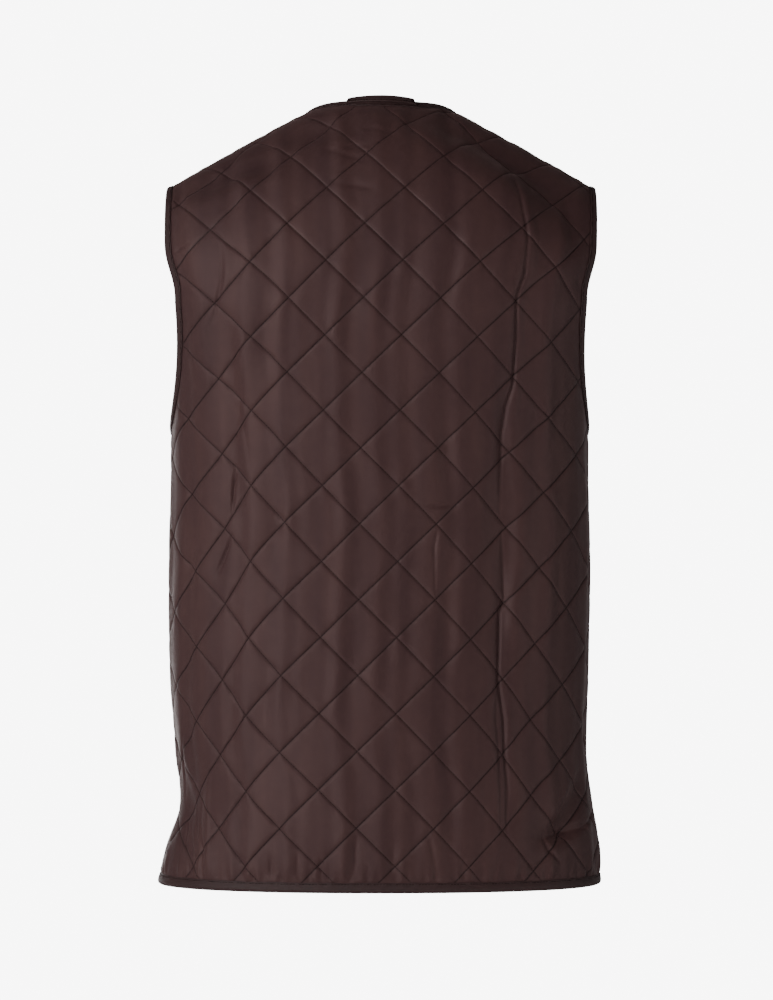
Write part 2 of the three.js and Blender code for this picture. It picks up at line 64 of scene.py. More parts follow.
def length(name, description, default):
    return FloatProperty(
        name=name, description=description, default=default, unit="LENGTH", subtype="DISTANCE",
        precision=4,
    )


def colour(name, description, default):
    return FloatVectorProperty(
        name=name, description=description, default=default, size=3, min=0.0, max=1.0, subtype="COLOR",
    )


class VestCut(PropertyGroup):
    """Sizes of the garment's cut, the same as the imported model's"""

    back_length: length("Back length", "Neck point down to the hem", 0.762)
    neck_half: length("Half neck", "Centre to the neck point", 0.063)
    shoulder_half: length("Half shoulder", "Centre to the shoulder tip", 0.210)
    shoulder_drop: length("Shoulder drop", "Shoulder tip below the neck point", 0.080)
    armpit_level: length("Armpit level", "Height of the armpit", -0.310)
    back_reach: length("Back width", "Centre to the back armhole at its narrowest", 0.208)
    front_reach: length("Front width", "Centre to the front armhole at its narrowest", 0.196)
    v_level: length("Foot of the neckline", "Height at which the front neckline ends", -0.227)
    nape_level: length("Nape level", "Height of the back neck edge at the centre", 0.004)
    gap_top: length("Half opening, top", "Half of the opening at the foot of the neckline", 0.007)
    gap_hem: length("Half opening, hem", "Half of the opening at the hem", 0.017)


class VestQuilting(PropertyGroup):
    """Sizes of the quilted cloth"""

    square: length("Square", "Side of one quilted square", 0.052)
    lean: FloatProperty(
        name="Lean", description="Lean of the quilting off the vertical", default=0.0126,
        unit="ROTATION", subtype="ANGLE",
    )
    sag: length("Sag", "How much lower the quilting hangs near the side seams", 0.007)
    wall: length("Wall", "Thickness at a stitch line", 0.003)
    puff: length("Puff", "How far the wadding stands out in a square", 0.0011)
    groove: length("Groove", "Distance over which the wadding rises from a stitch line", 0.0011)
    crown: FloatProperty(
        name="Crown", description="Share of the puff that bulges over the whole square", default=0.25,
        min=0.0, max=1.0,
    )
    lining_puff: length("Lining puff", "How far the wadding stands in on the inside", 0.0009)
    ripple: length("Ripple", "Height of the soft upright ripples of the cloth", 0.0018)
    stitch: length("Stitch", "Length of one stitch with its gap", 0.0031)
    thread: length("Thread", "Half thickness of the sewing thread", 0.0002)
    cuts: IntProperty(
        name="Cuts", description="Cuts across one square", default=13, min=3, max=21,
    )


class VestTapes(PropertyGroup):
    """Sizes of the folded bindings and of the hanger loop"""

    width: length("Binding width", "Width of a folded binding", 0.010)
    leaf: length("Tape thickness", "Thickness of the binding tape", 0.0006)
    inside: length("Binding inside", "Inner face, from the wall's inner face", -0.0012)
    outside: length("Binding outside", "Outer face, from the wall's inner face", 0.0044)
    tuck: length("Tuck", "How far a panel reaches in under its binding", 0.0048)
    pucker: length("Pucker", "Height of the puckers along a binding's sewn edge", 0.00035)
    thread: length("Binding thread", "Half thickness of the thread along the bindings", 0.0003)
    loop_length: length("Loop length", "Length of the hanger loop", 0.061)
    loop_height: length("Loop height", "Height of the hanger loop's tape", 0.0085)
    loop_thickness: length("Loop thickness", "Thickness of the hanger loop", 0.0018)
    loop_proud: length("Loop proud", "How far its middle stands above the neck edge", 0.003)


class VestColours(PropertyGroup):
    """Colours of the vest and of the stage"""

    cloth: colour("Cloth", "Quilted shell cloth", (0.0425, 0.0204, 0.0212))
    # The lighter colour serves both the cloth's own mottling and the upright streaks of painted sheen.
    cloth_mottle_and_sheen: colour("Cloth, light", "The cloth's lighter mottling", (0.0610, 0.0300, 0.0286))
    tape: colour("Tape", "Binding tape", (0.0290, 0.0122, 0.0120))
    thread: colour("Thread", "Sewing thread", (0.0085, 0.0026, 0.0026))
    floor: colour("Floor", "Floor under the vest", (0.82, 0.82, 0.82))
    backdrop: colour("Backdrop", "Plain light behind the vest", (1.0, 1.0, 1.0))


class VestStage(PropertyGroup):
    """Camera and light"""

    distance: length("Distance", "Camera to the vest's centre plane", 4.325)
    aside: length("Aside", "Camera off the centre line", -0.0053)
    height: length("Height", "Camera's height", -0.384)
    lens: FloatProperty(name="Lens", description="Focal length in millimetres", default=157.5)
    key: FloatProperty(name="Key light", description="Power of the light on the left", default=131.0)
    fill: FloatProperty(name="Fill light", description="Power of the light on the right", default=36.0)
    shoulder: FloatProperty(
        name="Shoulder light", description="Power of the small light over the left shoulder",
        default=15.0,
    )
    front: FloatProperty(name="Front light", description="Power of the light on the fronts", default=70.0)
    top: FloatProperty(name="Top light", description="Power of the light above", default=0.5)
    around: FloatProperty(name="Light all round", description="Strength of the pale room", default=0.46)
    white: FloatProperty(name="Backdrop", description="Strength of the pale backdrop", default=8.0)


# Level sections of the form: height, left, right, back, front, and how square it is.
SECTIONS = np.array([
    (-0.762, 0.217, 0.213, 0.124, 0.123, 2.25),
    (-0.727, 0.209, 0.212, 0.122, 0.123, 2.25),
    (-0.684, 0.195, 0.205, 0.120, 0.122, 2.3),
    (-0.632, 0.199, 0.199, 0.118, 0.121, 2.35),
    (-0.552, 0.205, 0.201, 0.115, 0.119, 2.4),
    (-0.442, 0.206, 0.203, 0.113, 0.117, 2.4),
    (-0.332, 0.204, 0.201, 0.117, 0.117, 2.4),
    (-0.262, 0.207, 0.204, 0.121, 0.118, 2.6),
    (-0.192, 0.215, 0.212, 0.123, 0.116, 3.0),
])
CHEST_LEVEL = -0.192
SHOULDER_SPREAD = 0.05
SPREAD_SHARE = 0.55
SHOULDER_ROUNDING = 2.25
RIDGE_EASE = 0.040
ARMHOLE_TURN = {"back": 0.110, "front": 0.125}
NECK_V_BEND = 1.22
SAG_GIRTH = 0.250
SEAM_GAP = 0.00002

# Steps and reach of the form's tables over girth and rise.
PATTERN_STEP = 0.002
GIRTH_REACH = 0.340
RISE_REACH = (-0.030, 0.930)

# Each panel: its face, its side, the seed of its ripples and one crossing of its stitch lines.
PANELS = {
    "back_panel": ("back", 0, 11, (0.017, 0.3575)),
    "front_left_panel": ("front", 1, 23, (0.052, 0.340)),
    "front_right_panel": ("front", -1, 37, (-0.060, 0.322)),
}
# How many squares of the quilting are laid out on each side of that crossing.
SQUARES_REACH = 18


# How far the worn back's quilting is drawn off its pattern, in millimetres: sideways and upwards, by
# girth across and by rise upwards. Where the cloth folds and turns the corner its squares lie shifted.
DRAWN_GIRTHS = np.array([-220, -170, -120, -60, 40, 120, 170, 220]) / 1000
DRAWN_RISES = np.array([0, 150, 300, 450, 600, 740]) / 1000
DRAWN_SIDEWAYS = np.array([
    (16, 12, 8, 2, 3, 2, -5, -14),
    (18, 18, 8, 4, 3, 3, -8, -18),
    (13, 11, 8, 4, 3, 0, -13, -15),
    (-5, 3, 5, 3, 3, 0, -5, 4),
    (10, 3, 3, 2, 2, 0, 2, 9),
    (16, 10, 8, 4, -1, -6, -12, -4),
]) / 1000
DRAWN_UPWARDS = np.array([
    (-4, -2, 0, 0, -1, -2, -1, -2),
    (-6, -3, -1, -1, -1, -3, -5, -9),
    (-3, -3, -2, -1, -2, -1, -6, -12),
    (-1, -4, -3, -2, -3, -2, -8, -8),
    (-10, -6, -5, -5, -6, -7, -10, -13),
    (-17, -13, -9, -10, -10, -9, -14, -18),
]) / 1000


def smooth(value, low, high):
    """An even start and end between two values, from 0 to 1."""
    share = np.clip((value - low) / (high - low), 0, 1)
    return share * share * (3 - 2 * share)


def smoother(value, low, high):
    share = np.clip((value - low) / (high - low), 0, 1)
    return share**3 * (share * (share * 6 - 15) + 10)


def mix(low, high, share):
    return low + (high - low) * share


def beyond(x, xs, ys):
    """np.interp for rising xs, going on straight past the last one."""
    found = np.interp(x, xs, ys)
    slope = (ys[-1] - ys[-2]) / (xs[-1] - xs[-2])
    return np.where(x > xs[-1], ys[-1] + (x - xs[-1]) * slope, found)


def distances(line):
    """How far along a line each of its points lies."""
    return np.concatenate([[0], np.cumsum(np.linalg.norm(np.diff(line, axis=0), axis=1))])


def points_at(line, along, at):
    """Points of a line in pattern coordinates at some distances along it."""
    return np.stack([np.interp(at, along, line[:, axis]) for axis in (0, 1)], axis=1)


def shares_at(values, at):
    """Shares of the numbers in at that a smooth curve takes at each value, as rows."""
    values = np.clip(values, at[0], at[-1])
    i = np.clip(np.searchsorted(at, values, side="right"), 1, len(at) - 1)
    last = len(at) - 1
    before = np.where(i - 2 < 0, i, i - 2)
    after = np.where(i + 1 > last, i - 1, i + 1)
    span = at[i] - at[i - 1]
    p = (values - at[i - 1]) / span
    w_before = 0.5 * span / (at[i - 1] - at[before])
    w_after = 0.5 * span / (at[after] - at[i])
    shares = np.zeros((len(values), len(at)))
    row = np.arange(len(values))
    np.add.at(shares, (row, before), -w_before * p**3 + 2 * w_before * p**2 - w_before * p)
    np.add.at(shares, (row, i - 1), (1 + w_before) * p**3 + (-1.5 - 2 * w_before) * p**2
              + (-0.5 + w_before) * p + 1)
    np.add.at(shares, (row, i), (-1 - w_after) * p**3 + (1.5 + w_after) * p**2 + 0.5 * p)
    np.add.at(shares, (row, after), w_after * p**3 - w_after * p**2)
    return shares


def sections_at(levels):
    """Rows of left, right, back, front and squareness at some heights, on a smooth curve."""
    return shares_at(levels, SECTIONS[:, 0]) @ SECTIONS[:, 1:]


class Form:
    """The shape that the worn cloth takes, as tables over girth and rise."""

    STEPS = 192
    SHOULDER_STEPS = 96

    def __init__(self, cut):
        self.cut = cut
        self.length = round(cut.back_length, 6)
        self.chest_rise = CHEST_LEVEL + self.length
        self.girths = np.arange(-GIRTH_REACH, GIRTH_REACH + PATTERN_STEP / 2, PATTERN_STEP)
        self.rises = np.arange(RISE_REACH[0], RISE_REACH[1], PATTERN_STEP)
        self.points, self.normals, self.ridges, self.sides, self.feet = {}, {}, {}, {}, {}
        for face in FACES:
            self.lay_out(face)

    def quarter(self, levels, face, side):
        """Quarters of level sections: x, y and girth, each a row for a level."""
        rows = sections_at(levels)
        width = rows[:, 0 if side > 0 else 1][:, None]
        depth = rows[:, 2 if face == "back" else 3][:, None]
        square = rows[:, 4][:, None]
        angle = np.linspace(0, QUARTER_TURN, self.STEPS + 1)[None, :]
        total = (np.sin(angle) / width) ** square + (np.cos(angle) / depth) ** square
        reach = total ** (-1 / square)
        x, y = reach * np.sin(angle), reach * np.cos(angle)
        steps = np.hypot(np.diff(x), np.diff(y))
        girth = np.concatenate([np.zeros((len(rows), 1)), np.cumsum(steps, axis=1)], axis=1)
        return x, y, girth

    def lay_out(self, face):
        out = 1 if face == "back" else -1
        low = self.rises[self.rises < self.chest_rise + 1e-6]
        table = np.zeros((len(self.rises), len(self.girths), 3))
        levels = low - self.length
        table[:len(low), :, 2] = levels[:, None]
        for side in (1, -1):
            x, y, girth = self.quarter(levels, face, side)
            mine = self.girths * side >= 0
            for row in range(len(low)):
                at = np.abs(self.girths[mine])
                table[row, mine, 0] = side * beyond(at, girth[row], x[row])
                table[row, mine, 1] = out * beyond(at, girth[row], y[row])
            self.sides[face, side] = (low, girth[:, -1])
            fx, _, fg = self.quarter(np.array([CHEST_LEVEL]), face, side)
            self.feet[face, side] = (fx[0], fg[0])
        high = self.rises[len(low):] - self.chest_rise
        angle = np.linspace(0, QUARTER_TURN, self.SHOULDER_STEPS + 1)
        up = np.sin(angle) ** (2 / SHOULDER_ROUNDING)
        over = np.maximum(np.cos(angle), 0) ** (2 / SHOULDER_ROUNDING)
        spread = SHOULDER_SPREAD * smoother(up, 0, SPREAD_SHARE)
        ridges = []
        for column in range(len(self.girths)):
            x, y, _ = table[len(low) - 1, column]
            top = self.ridge_height(x * (1 + SHOULDER_SPREAD))
            thread = np.stack([x * (1 + spread), y * over, mix(CHEST_LEVEL, top, up)], axis=1)
            along = distances(thread)
            for axis in range(3):
                table[len(low):, column, axis] = beyond(high, along, thread[:, axis])
            ridges.append(self.chest_rise + along[-1])
        self.ridges[face] = np.array(ridges)
        across = np.gradient(table, axis=1)
        upward = np.gradient(table, axis=0)
        normal = np.cross(upward, across) * out
        self.points[face] = table
        self.normals[face] = normal / np.linalg.norm(normal, axis=2)[:, :, None]

    def ridge_height(self, x):
        cut = self.cut
        arc = [math.hypot(value, RIDGE_EASE) for value in (x, cut.neck_half, cut.shoulder_half)]
        return -cut.shoulder_drop * (arc[0] - arc[1]) / (arc[2] - arc[1])

    def look_up(self, table, places):
        u = np.clip((places[:, 0] - self.girths[0]) / PATTERN_STEP, 0, len(self.girths) - 1.001)
        v = np.clip((places[:, 1] - self.rises[0]) / PATTERN_STEP, 0, len(self.rises) - 1.001)
        i, j = u.astype(int), v.astype(int)
        fu, fv = (u - i)[:, None], (v - j)[:, None]
        low = table[j, i] * (1 - fu) + table[j, i + 1] * fu
        high = table[j + 1, i] * (1 - fu) + table[j + 1, i + 1] * fu
        return low * (1 - fv) + high * fv

    def cloth_points(self, face, places, out):
        """Places on the cloth. out is the distance outwards from the wall's inner face."""
        places = np.asarray(places, float)
        normal = self.look_up(self.normals[face], places)
        normal /= np.linalg.norm(normal, axis=1)[:, None]
        seam = self.ridge_rise(face, places[:, 0]) - places[:, 1]
        out = out - fold_depth(face, places) * smooth(seam, *FOLD_FADE)
        return self.look_up(self.points[face], places) + normal * np.asarray(out)[:, None]

    def side_girth(self, rise, face, side):
        rises, girths = self.sides[face, side]
        return np.interp(rise, rises, girths)

    def ridge_rise(self, face, girth):
        return np.interp(girth, self.girths, self.ridges[face])

    def girth_at_ridge(self, face, side, x):
        xs, girths = self.feet[face, side]
        return float(np.interp(x / (1 + SHOULDER_SPREAD), xs, girths))

    def rise_at_height(self, face, girth, z):
        column = int(round((girth - self.girths[0]) / PATTERN_STEP))
        rows = self.rises >= self.chest_rise - 1e-6
        return float(np.interp(z, self.points[face][rows, column, 2], self.rises[rows]))


# Folds of the worn cloth: depth, half width and a path of girths and rises, all in millimetres. A trough
# has a positive depth and a ridge a negative one.
FOLDS = {
    "back": [
        (5.2, 13, [(-136, 716), (-146, 613), (-133, 503), (-122, 436), (-117, 371), (-121, 320),
                   (-117, 263), (-120, 212), (-128, 138), (-131, 76)]),
        (3.0, 13, [(160, 632), (160, 586), (154, 534), (145, 455), (144, 405), (147, 366)]),
        (2.2, 11, [(149, 342), (165, 300)]),
        (5.0, 14, [(214, 118), (206, 60), (205, 16)]),
        (7.5, 13, [(-212, 100), (-186, 62), (-160, 52)]),
        (5.0, 13, [(186, 690), (164, 692), (144, 702), (121, 711), (93, 716)]),
        (4.5, 13, [(90, 738), (63, 745), (35, 747)]),
        (3.0, 20, [(-150, 6), (-80, 8), (0, 8), (80, 8), (150, 6)]),
        (12.0, 20, [(-40, 764), (-81, 749), (-109, 735), (-134, 720), (-160, 694), (-177, 658),
                    (-186, 632)]),
        (-1.6, 12, [(-77, 702), (-109, 684), (-138, 666)]),
        (-1.2, 10, [(169, 667), (130, 689), (93, 694)]),
    ],
    "front": [
        (6.0, 14, [(128, 600), (118, 500), (122, 380), (114, 260), (118, 120)]),
        (4.5, 13, [(192, 470), (184, 380), (190, 270)]),
        (5.5, 14, [(-134, 560), (-124, 430), (-126, 310), (-118, 190), (-124, 90)]),
        (4.5, 13, [(-190, 440), (-198, 330), (-188, 230)]),
    ],
}
# The share of its depth that a fold or a crease has at its ends.
FOLD_END = 0.38
CREASE_END = 0.25
# Distance from the shoulder seam at which the folds start, and at which they are at full depth.
FOLD_FADE = (0.001, 0.015)

# Finer creases that only the outer layer has, in the same way.
CREASES = {
    "back": [
        (2.6, 1.8, [(-124, 694), (-130, 665), (-136, 631), (-138, 595), (-131, 573), (-131, 532),
                    (-129, 489), (-122, 468), (-118, 441), (-117, 397), (-116, 366)]),
        (2.6, 1.8, [(-118, 347), (-120, 305), (-121, 281), (-116, 270), (-115, 243), (-114, 204),
                    (-120, 166), (-121, 134), (-124, 98), (-122, 58)]),
        (1.2, 1.8, [(-113, 195), (-112, 166), (-115, 127), (-116, 89), (-116, 60)]),
        (-1.1, 4.5, [(-132, 683), (-143, 632), (-145, 600), (-138, 574)]),
        (-0.9, 4.5, [(-137, 560), (-137, 500), (-127, 450), (-124, 400)]),
        (-0.9, 4.5, [(-126, 330), (-127, 290), (-122, 240), (-122, 200), (-128, 150), (-131, 100)]),
        (1.3, 1.9, [(148, 626), (151, 604), (158, 577), (165, 550)]),
        (0.9, 3.0, [(139, 470), (133, 446), (126, 410)]),
        (0.8, 3.0, [(133, 518), (137, 475), (143, 436)]),
        (2.8, 1.2, [(143, 407), (145, 388), (146, 366)]),
        (2.6, 1.2, [(146, 344), (155, 324), (163, 306)]),
        (1.8, 1.4, [(204, 616), (194, 622), (181, 625)]),
        (1.9, 1.3, [(-42, 371), (-56, 372), (-72, 373)]),
        (1.2, 1.6, [(-54, 349), (-51, 332), (-52, 291)]),
        (1.2, 2.4, [(-195, 593), (-203, 580), (-211, 567)]),
        (4.2, 4.0, [(-160, 51), (-183, 53), (-201, 57), (-217, 59)]),
        (2.2, 2.4, [(-215, 59), (-233, 65), (-252, 73)]),
        (1.4, 2.2, [(-217, 58), (-233, 47)]),
        (2.2, 2.2, [(-162, 51), (-167, 39), (-180, 27)]),
        (-1.5, 5.0, [(-207, 114), (-191, 94), (-176, 75), (-167, 62)]),
        (1.3, 2.6, [(24, 53), (25, 34), (27, 15)]),
        (1.1, 2.6, [(-47, 53), (-50, 34), (-53, 15)]),
        (1.0, 2.6, [(-12, 40), (-10, 17)]),
        (1.0, 2.4, [(-79, 30), (-77, 15)]),
        (0.9, 2.4, [(57, 36), (58, 16)]),
        (0.9, 2.4, [(80, 39), (81, 15)]),
        (0.9, 2.4, [(106, 33), (107, 15)]),
        (1.0, 2.6, [(-115, 39), (-111, 14)]),
        (-1.6, 4.0, [(172, 121), (177, 86), (175, 48), (172, 12)]),
        (1.4, 2.6, [(184, 96), (187, 66), (180, 38), (181, 11)]),
        (-1.2, 3.0, [(197, 85), (198, 56), (187, 20)]),
        (1.2, 2.6, [(206, 163), (219, 124), (223, 84)]),
        (1.2, 2.4, [(214, 73), (210, 44), (197, 16)]),
        (0.9, 3.5, [(44, 720), (28, 724), (12, 724)]),
        (0.9, 3.5, [(38, 683), (23, 682), (7, 678)]),
        (0.8, 3.0, [(15, 744), (-3, 740), (-15, 744)]),
        (0.8, 3.5, [(51, 723), (33, 713), (15, 710)]),
    ],
    "front": [
        (1.5, 2.6, [(122, 600), (112, 500), (116, 380), (108, 260), (112, 120)]),
        (-1.4, 4.2, [(132, 590), (122, 490), (126, 370), (118, 250), (122, 120)]),
        (1.3, 2.4, [(186, 470), (178, 380), (184, 270)]),
        (1.4, 2.4, [(-128, 560), (-118, 430), (-120, 310), (-112, 190), (-118, 90)]),
        (-1.3, 4.2, [(-140, 550), (-130, 420), (-132, 300), (-124, 180), (-130, 96)]),
        (1.3, 2.4, [(-184, 440), (-192, 330), (-182, 230)]),
        (1.0, 2.2, [(60, 300), (74, 296), (86, 298)]),
        (1.0, 2.2, [(-52, 210), (-66, 214), (-80, 212)]),
    ],
}


def path_reach(places, path):
    """Distance from places to a path, and how far along it the nearest points lie, from 0 to 1."""
    near = np.full(len(places), np.inf)
    along = np.zeros(len(places))
    for i in range(1, len(path)):
        a, b = np.array(path[i - 1], float), np.array(path[i], float)
        run = b - a
        share = np.clip((places - a) @ run / (run @ run), 0, 1)
        distance = np.linalg.norm(places - a - share[:, None] * run, axis=1)
        closer = distance < near
        near = np.where(closer, distance, near)
        along = np.where(closer, (i - 1 + share) / (len(path) - 1), along)
    return near, along


def press(folds, places, end):
    """How far some folds press the cloth in, in metres."""
    total = np.zeros(len(places))
    spots = places * 1000
    for depth, half, path in folds:
        corners = np.array(path)
        low, high = corners.min(axis=0) - 3 * half, corners.max(axis=0) + 3 * half
        near = np.all((spots > low) & (spots < high), axis=1)
        if near.any():
            distance, along = path_reach(spots[near], path)
            taper = mix(end, 1, np.sin(math.pi * along))
            total[near] += depth * taper * np.exp(-((distance / half) ** 2)) / 1000
    return total


def fold_depth(face, places):
    return press(FOLDS[face], places, FOLD_END)


def crease_depth(face, places):
    return press(CREASES[face], places, CREASE_END)


def drift(values, seed, waves):
    """A smooth wandering line over numbers: sines of some lengths and heights, with set phases."""
    phases = np.random.default_rng(seed).uniform(0, 2 * math.pi, len(waves))
    return sum(
        height * np.sin(2 * math.pi * values / wave + phase)
        for (wave, height), phase in zip(waves, phases)
    )


def ripples(places, seed):
    """Soft upright ripples of the worn cloth, from about -1 to 1."""
    girth, rise = places[:, 0], places[:, 1]
    lean = drift(rise, seed, [(0.31, 0.004), (0.13, 0.0015)])
    wave = drift(girth + lean, seed + 1, [(0.043, 0.5), (0.029, 0.42), (0.0187, 0.25)])
    fade = 0.65 + 0.35 * drift(rise + 0.4 * girth, seed + 2, [(0.17, 0.6), (0.09, 0.4)])
    return wave * fade


# The garment's edges, as lines in pattern coordinates.

def armhole_line(form, face, side, turn, up):
    cut = form.cut
    armpit = cut.armpit_level + form.length
    seam = float(form.side_girth(armpit, face, side))
    reach = cut.back_reach if face == "back" else cut.front_reach
    narrow = form.girth_at_ridge(face, side, reach)
    tip = form.girth_at_ridge(face, side, cut.shoulder_half)
    turn_rise = armpit + ARMHOLE_TURN[face]
    top = float(form.ridge_rise(face, side * tip))
    angle = np.linspace(0, QUARTER_TURN, turn + 1)
    share = np.linspace(0, 1, up + 1)[1:]
    girth = np.concatenate([mix(seam, narrow, np.sin(angle)), mix(narrow, tip, smooth(share, 0, 1))])
    rise = np.concatenate([mix(turn_rise, armpit, np.cos(angle)), mix(turn_rise, top, share)])
    return np.stack([side * girth, rise], axis=1)


def nape_line(form, steps):
    centre = form.rise_at_height("back", 0, form.cut.nape_level)
    line = []
    for i in range(-steps, steps + 1):
        side = -1 if i < 0 else 1
        angle = i / steps * QUARTER_TURN
        neck = form.girth_at_ridge("back", side, form.cut.neck_half)
        top = float(form.ridge_rise("back", side * neck))
        line.append((neck * math.sin(angle), mix(top, centre, math.cos(angle))))
    return np.array(line)


def front_line(form, side, opening, neck):
    cut = form.cut
    point = form.girth_at_ridge("front", side, cut.neck_half)
    top = float(form.ridge_rise("front", side * point))
    foot = cut.v_level + form.length
    share = np.linspace(0, 1, opening, endpoint=False)
    down = 1 - np.linspace(0, 1, neck + 1)
    opening_girth = mix(cut.gap_hem, cut.gap_top, share)
    girth = np.concatenate([opening_girth, mix(point, cut.gap_top, down**NECK_V_BEND)])
    rise = np.concatenate([foot * share, mix(top, foot, down)])
    return np.stack([side * girth, rise], axis=1)


def hem_line(start, end, steps):
    return np.stack([np.linspace(start, end, steps + 1), np.zeros(steps + 1)], axis=1)


def left_of(line):
    """The distance from a line as a function, positive on its left. The line goes on at its ends."""
    def distance_of(places):
        nearest = np.full(len(places), np.inf)
        left = np.ones(len(places))
        for i in range(1, len(line)):
            a, run = line[i - 1], line[i] - line[i - 1]
            along = (places - a) @ run / (run @ run)
            share = np.clip(along, -np.inf if i == 1 else 0, np.inf if i == len(line) - 1 else 1)
            distance = np.linalg.norm(places - a - share[:, None] * run, axis=1)
            turn = run[0] * (places[:, 1] - a[1]) - run[1] * (places[:, 0] - a[0])
            closer = distance < nearest
            nearest = np.where(closer, distance, nearest)
            left = np.where(closer, np.sign(turn), left)
        return nearest * left
    return distance_of


class Outline:
    """A panel's sewn and bound edges: how far inside each one a place lies."""

    def __init__(self, sewn, bound):
        self.sewn = sewn
        self.bound = bound

    def sewn_depth(self, places):
        return np.min([edge(places) for edge in self.sewn], axis=0)

    def bound_depth(self, places):
        return np.min([edge(places) for edge in self.bound], axis=0)

    def depth(self, places):
        return np.minimum(self.sewn_depth(places), self.bound_depth(places))


def shoulder_edge(form, face):
    return lambda places: form.ridge_rise(face, places[:, 0]) - SEAM_GAP / 2 - places[:, 1]


def side_edge(form, face, side):
    def depth(places):
        rise = np.minimum(places[:, 1], form.chest_rise)
        return form.side_girth(rise, face, side) - SEAM_GAP / 2 - side * places[:, 0]
    return depth


def turned(edge, sign):
    """An edge's distances with a sign, so that they are positive inside the panel."""
    return lambda places: sign * edge(places)


# A girth that lies past both side seams, from where the armhole's lower edge is cut.
PAST_SEAM = 0.32


def armhole_edge(form, face, side):
    line = armhole_line(form, face, side, 24, 24)
    start = np.array([[side * PAST_SEAM, form.cut.armpit_level + form.length]])
    return turned(left_of(np.concatenate([start, line])), side)


def hem_edge(places):
    return places[:, 1]


def back_outline(form):
    sewn = [shoulder_edge(form, "back"), side_edge(form, "back", 1), side_edge(form, "back", -1)]
    bound = [hem_edge, turned(left_of(nape_line(form, 24)), -1)]
    bound += [armhole_edge(form, "back", side) for side in (1, -1)]
    return Outline(sewn, bound)


def front_outline(form, side):
    sewn = [shoulder_edge(form, "front"), side_edge(form, "front", side)]
    bound = [hem_edge, turned(left_of(front_line(form, side, 12, 40)), -side)]
    bound.append(armhole_edge(form, "front", side))
    return Outline(sewn, bound)


# Quilting.

# The share of the puff that the flattest square has, and how much more the fullest has. The other two
# scatter the squares between them.
PUFF_LEAST = 0.86
PUFF_SPREAD = 0.28
SQUARE_SCATTER = np.array([12.9898, 78.233])
SCATTER_SCALE = 43758.5453
# How the rows of vertices crowd towards the stitch lines, from 1 for even rows.
CROWDING = 1.8
# Rows of vertices along the seams and the bound edges, by distance inwards.
SEAM_ROWS = (0.0012, 0.0028, 0.0055)
BINDING_ROWS = (0.0098, 0.0118, 0.0150)
# Where the sheet is divided more finely: the longest edge that is left, how far round a crease in
# millimetres, and the height of the strip above the hem.
REFINEMENTS = ((0.0032, 6, 0.030), (0.0017, 1, 0.0))
# The wadding and the ripples die out between these distances from a seam and from a bound edge.
SEWN_FLAT = (0, 0.016)
BOUND_FLAT = (0.0095, 0.024)
RIPPLE_SEWN = (0, 0.02)
RIPPLE_BOUND = (0.010, 0.020)
# The cloth is drawn tight along the shoulder seam: its share of puff there, and where it ends.
TAUT_SHARE = 0.4
TAUT_REACH = (0.004, 0.060)
# Puckers just above the hem and below the shoulder seam, and the dip at a seam.
HEM_PUCKER = 0.0009
SHOULDER_PUCKER = 0.0007
SEAM_DIP = 0.0022
# How far out the inner layer lies at the stitches.
LINING_LEVEL = 0.0001
# How far out the outer layer may stand under a binding, and where it comes out from under it.
UNDER_BINDING = 0.0025
BINDING_RIM = (0.0085, 0.0125)


class Quilting:
    """Stitch lines of one panel, as two families of whole numbers."""

    def __init__(self, sizes, anchor, drawn):
        self.sizes = sizes
        self.anchor = np.array(anchor)
        self.drawn = drawn
        angle = sizes.lean + math.pi / 4
        self.turn = np.array([[math.cos(angle), -math.sin(angle)], [math.sin(angle), math.cos(angle)]])

    def sag(self, girth):
        return self.sizes.sag * (girth / SAG_GIRTH) ** 2

    def shift(self, places):
        """How far the worn cloth is drawn off its pattern."""
        if not self.drawn:
            return np.zeros_like(places)
        across = shares_at(places[:, 0], DRAWN_GIRTHS)
        up = shares_at(places[:, 1], DRAWN_RISES)
        tables = (DRAWN_SIDEWAYS, DRAWN_UPWARDS)
        return np.stack([np.einsum("nr,rg,ng->n", up, table, across) for table in tables], axis=1)

    def places(self, squares):
        spots = squares * self.sizes.square @ self.turn.T + self.anchor
        spots = np.stack([spots[:, 0], spots[:, 1] - self.sag(spots[:, 0])], axis=1)
        return spots + self.shift(spots)

    def squares(self, places):
        spots = places
        for _ in range(8 if self.drawn else 0):
            spots = places - self.shift(spots)
        spots = np.stack([spots[:, 0], spots[:, 1] + self.sag(spots[:, 0])], axis=1)
        return (spots - self.anchor) @ self.turn / self.sizes.square

    def fullness(self, places):
        """How far the wadding stands out, from 0 at the stitches to about 1."""
        squares = self.squares(places)
        part = squares - np.floor(squares)
        reach = np.minimum(part, 1 - part) * self.sizes.square
        half = self.sizes.square / 2
        rise = (1 - np.exp(-reach / self.sizes.groove)) / (1 - math.exp(-half / self.sizes.groove))
        crown = np.prod(4 * part * (1 - part), axis=1)
        scattered = np.sin(np.floor(squares) @ SQUARE_SCATTER) * SCATTER_SCALE
        own = PUFF_LEAST + PUFF_SPREAD * (scattered - np.floor(scattered))
        return mix(rise[:, 0] * rise[:, 1], crown, self.sizes.crown) * own


class QuiltedPanel:
    """One panel of the vest: its face, outline and quilting, and the seed of its ripples."""

    def __init__(self, form, name):
        self.form = form
        self.face, side, self.seed, anchor = PANELS[name]
        self.outline = front_outline(form, side) if side else back_outline(form)
        self.quilting = Quilting(bpy.context.scene.vest_quilting, anchor, self.face == "back")

    def near_edges(self, places):
        """The share of its puff that the wadding has near the edges, and the distances from them."""
        sewn, bound = self.outline.sewn_depth(places), self.outline.bound_depth(places)
        return smooth(sewn, *SEWN_FLAT) * smooth(bound, *BOUND_FLAT), sewn, bound


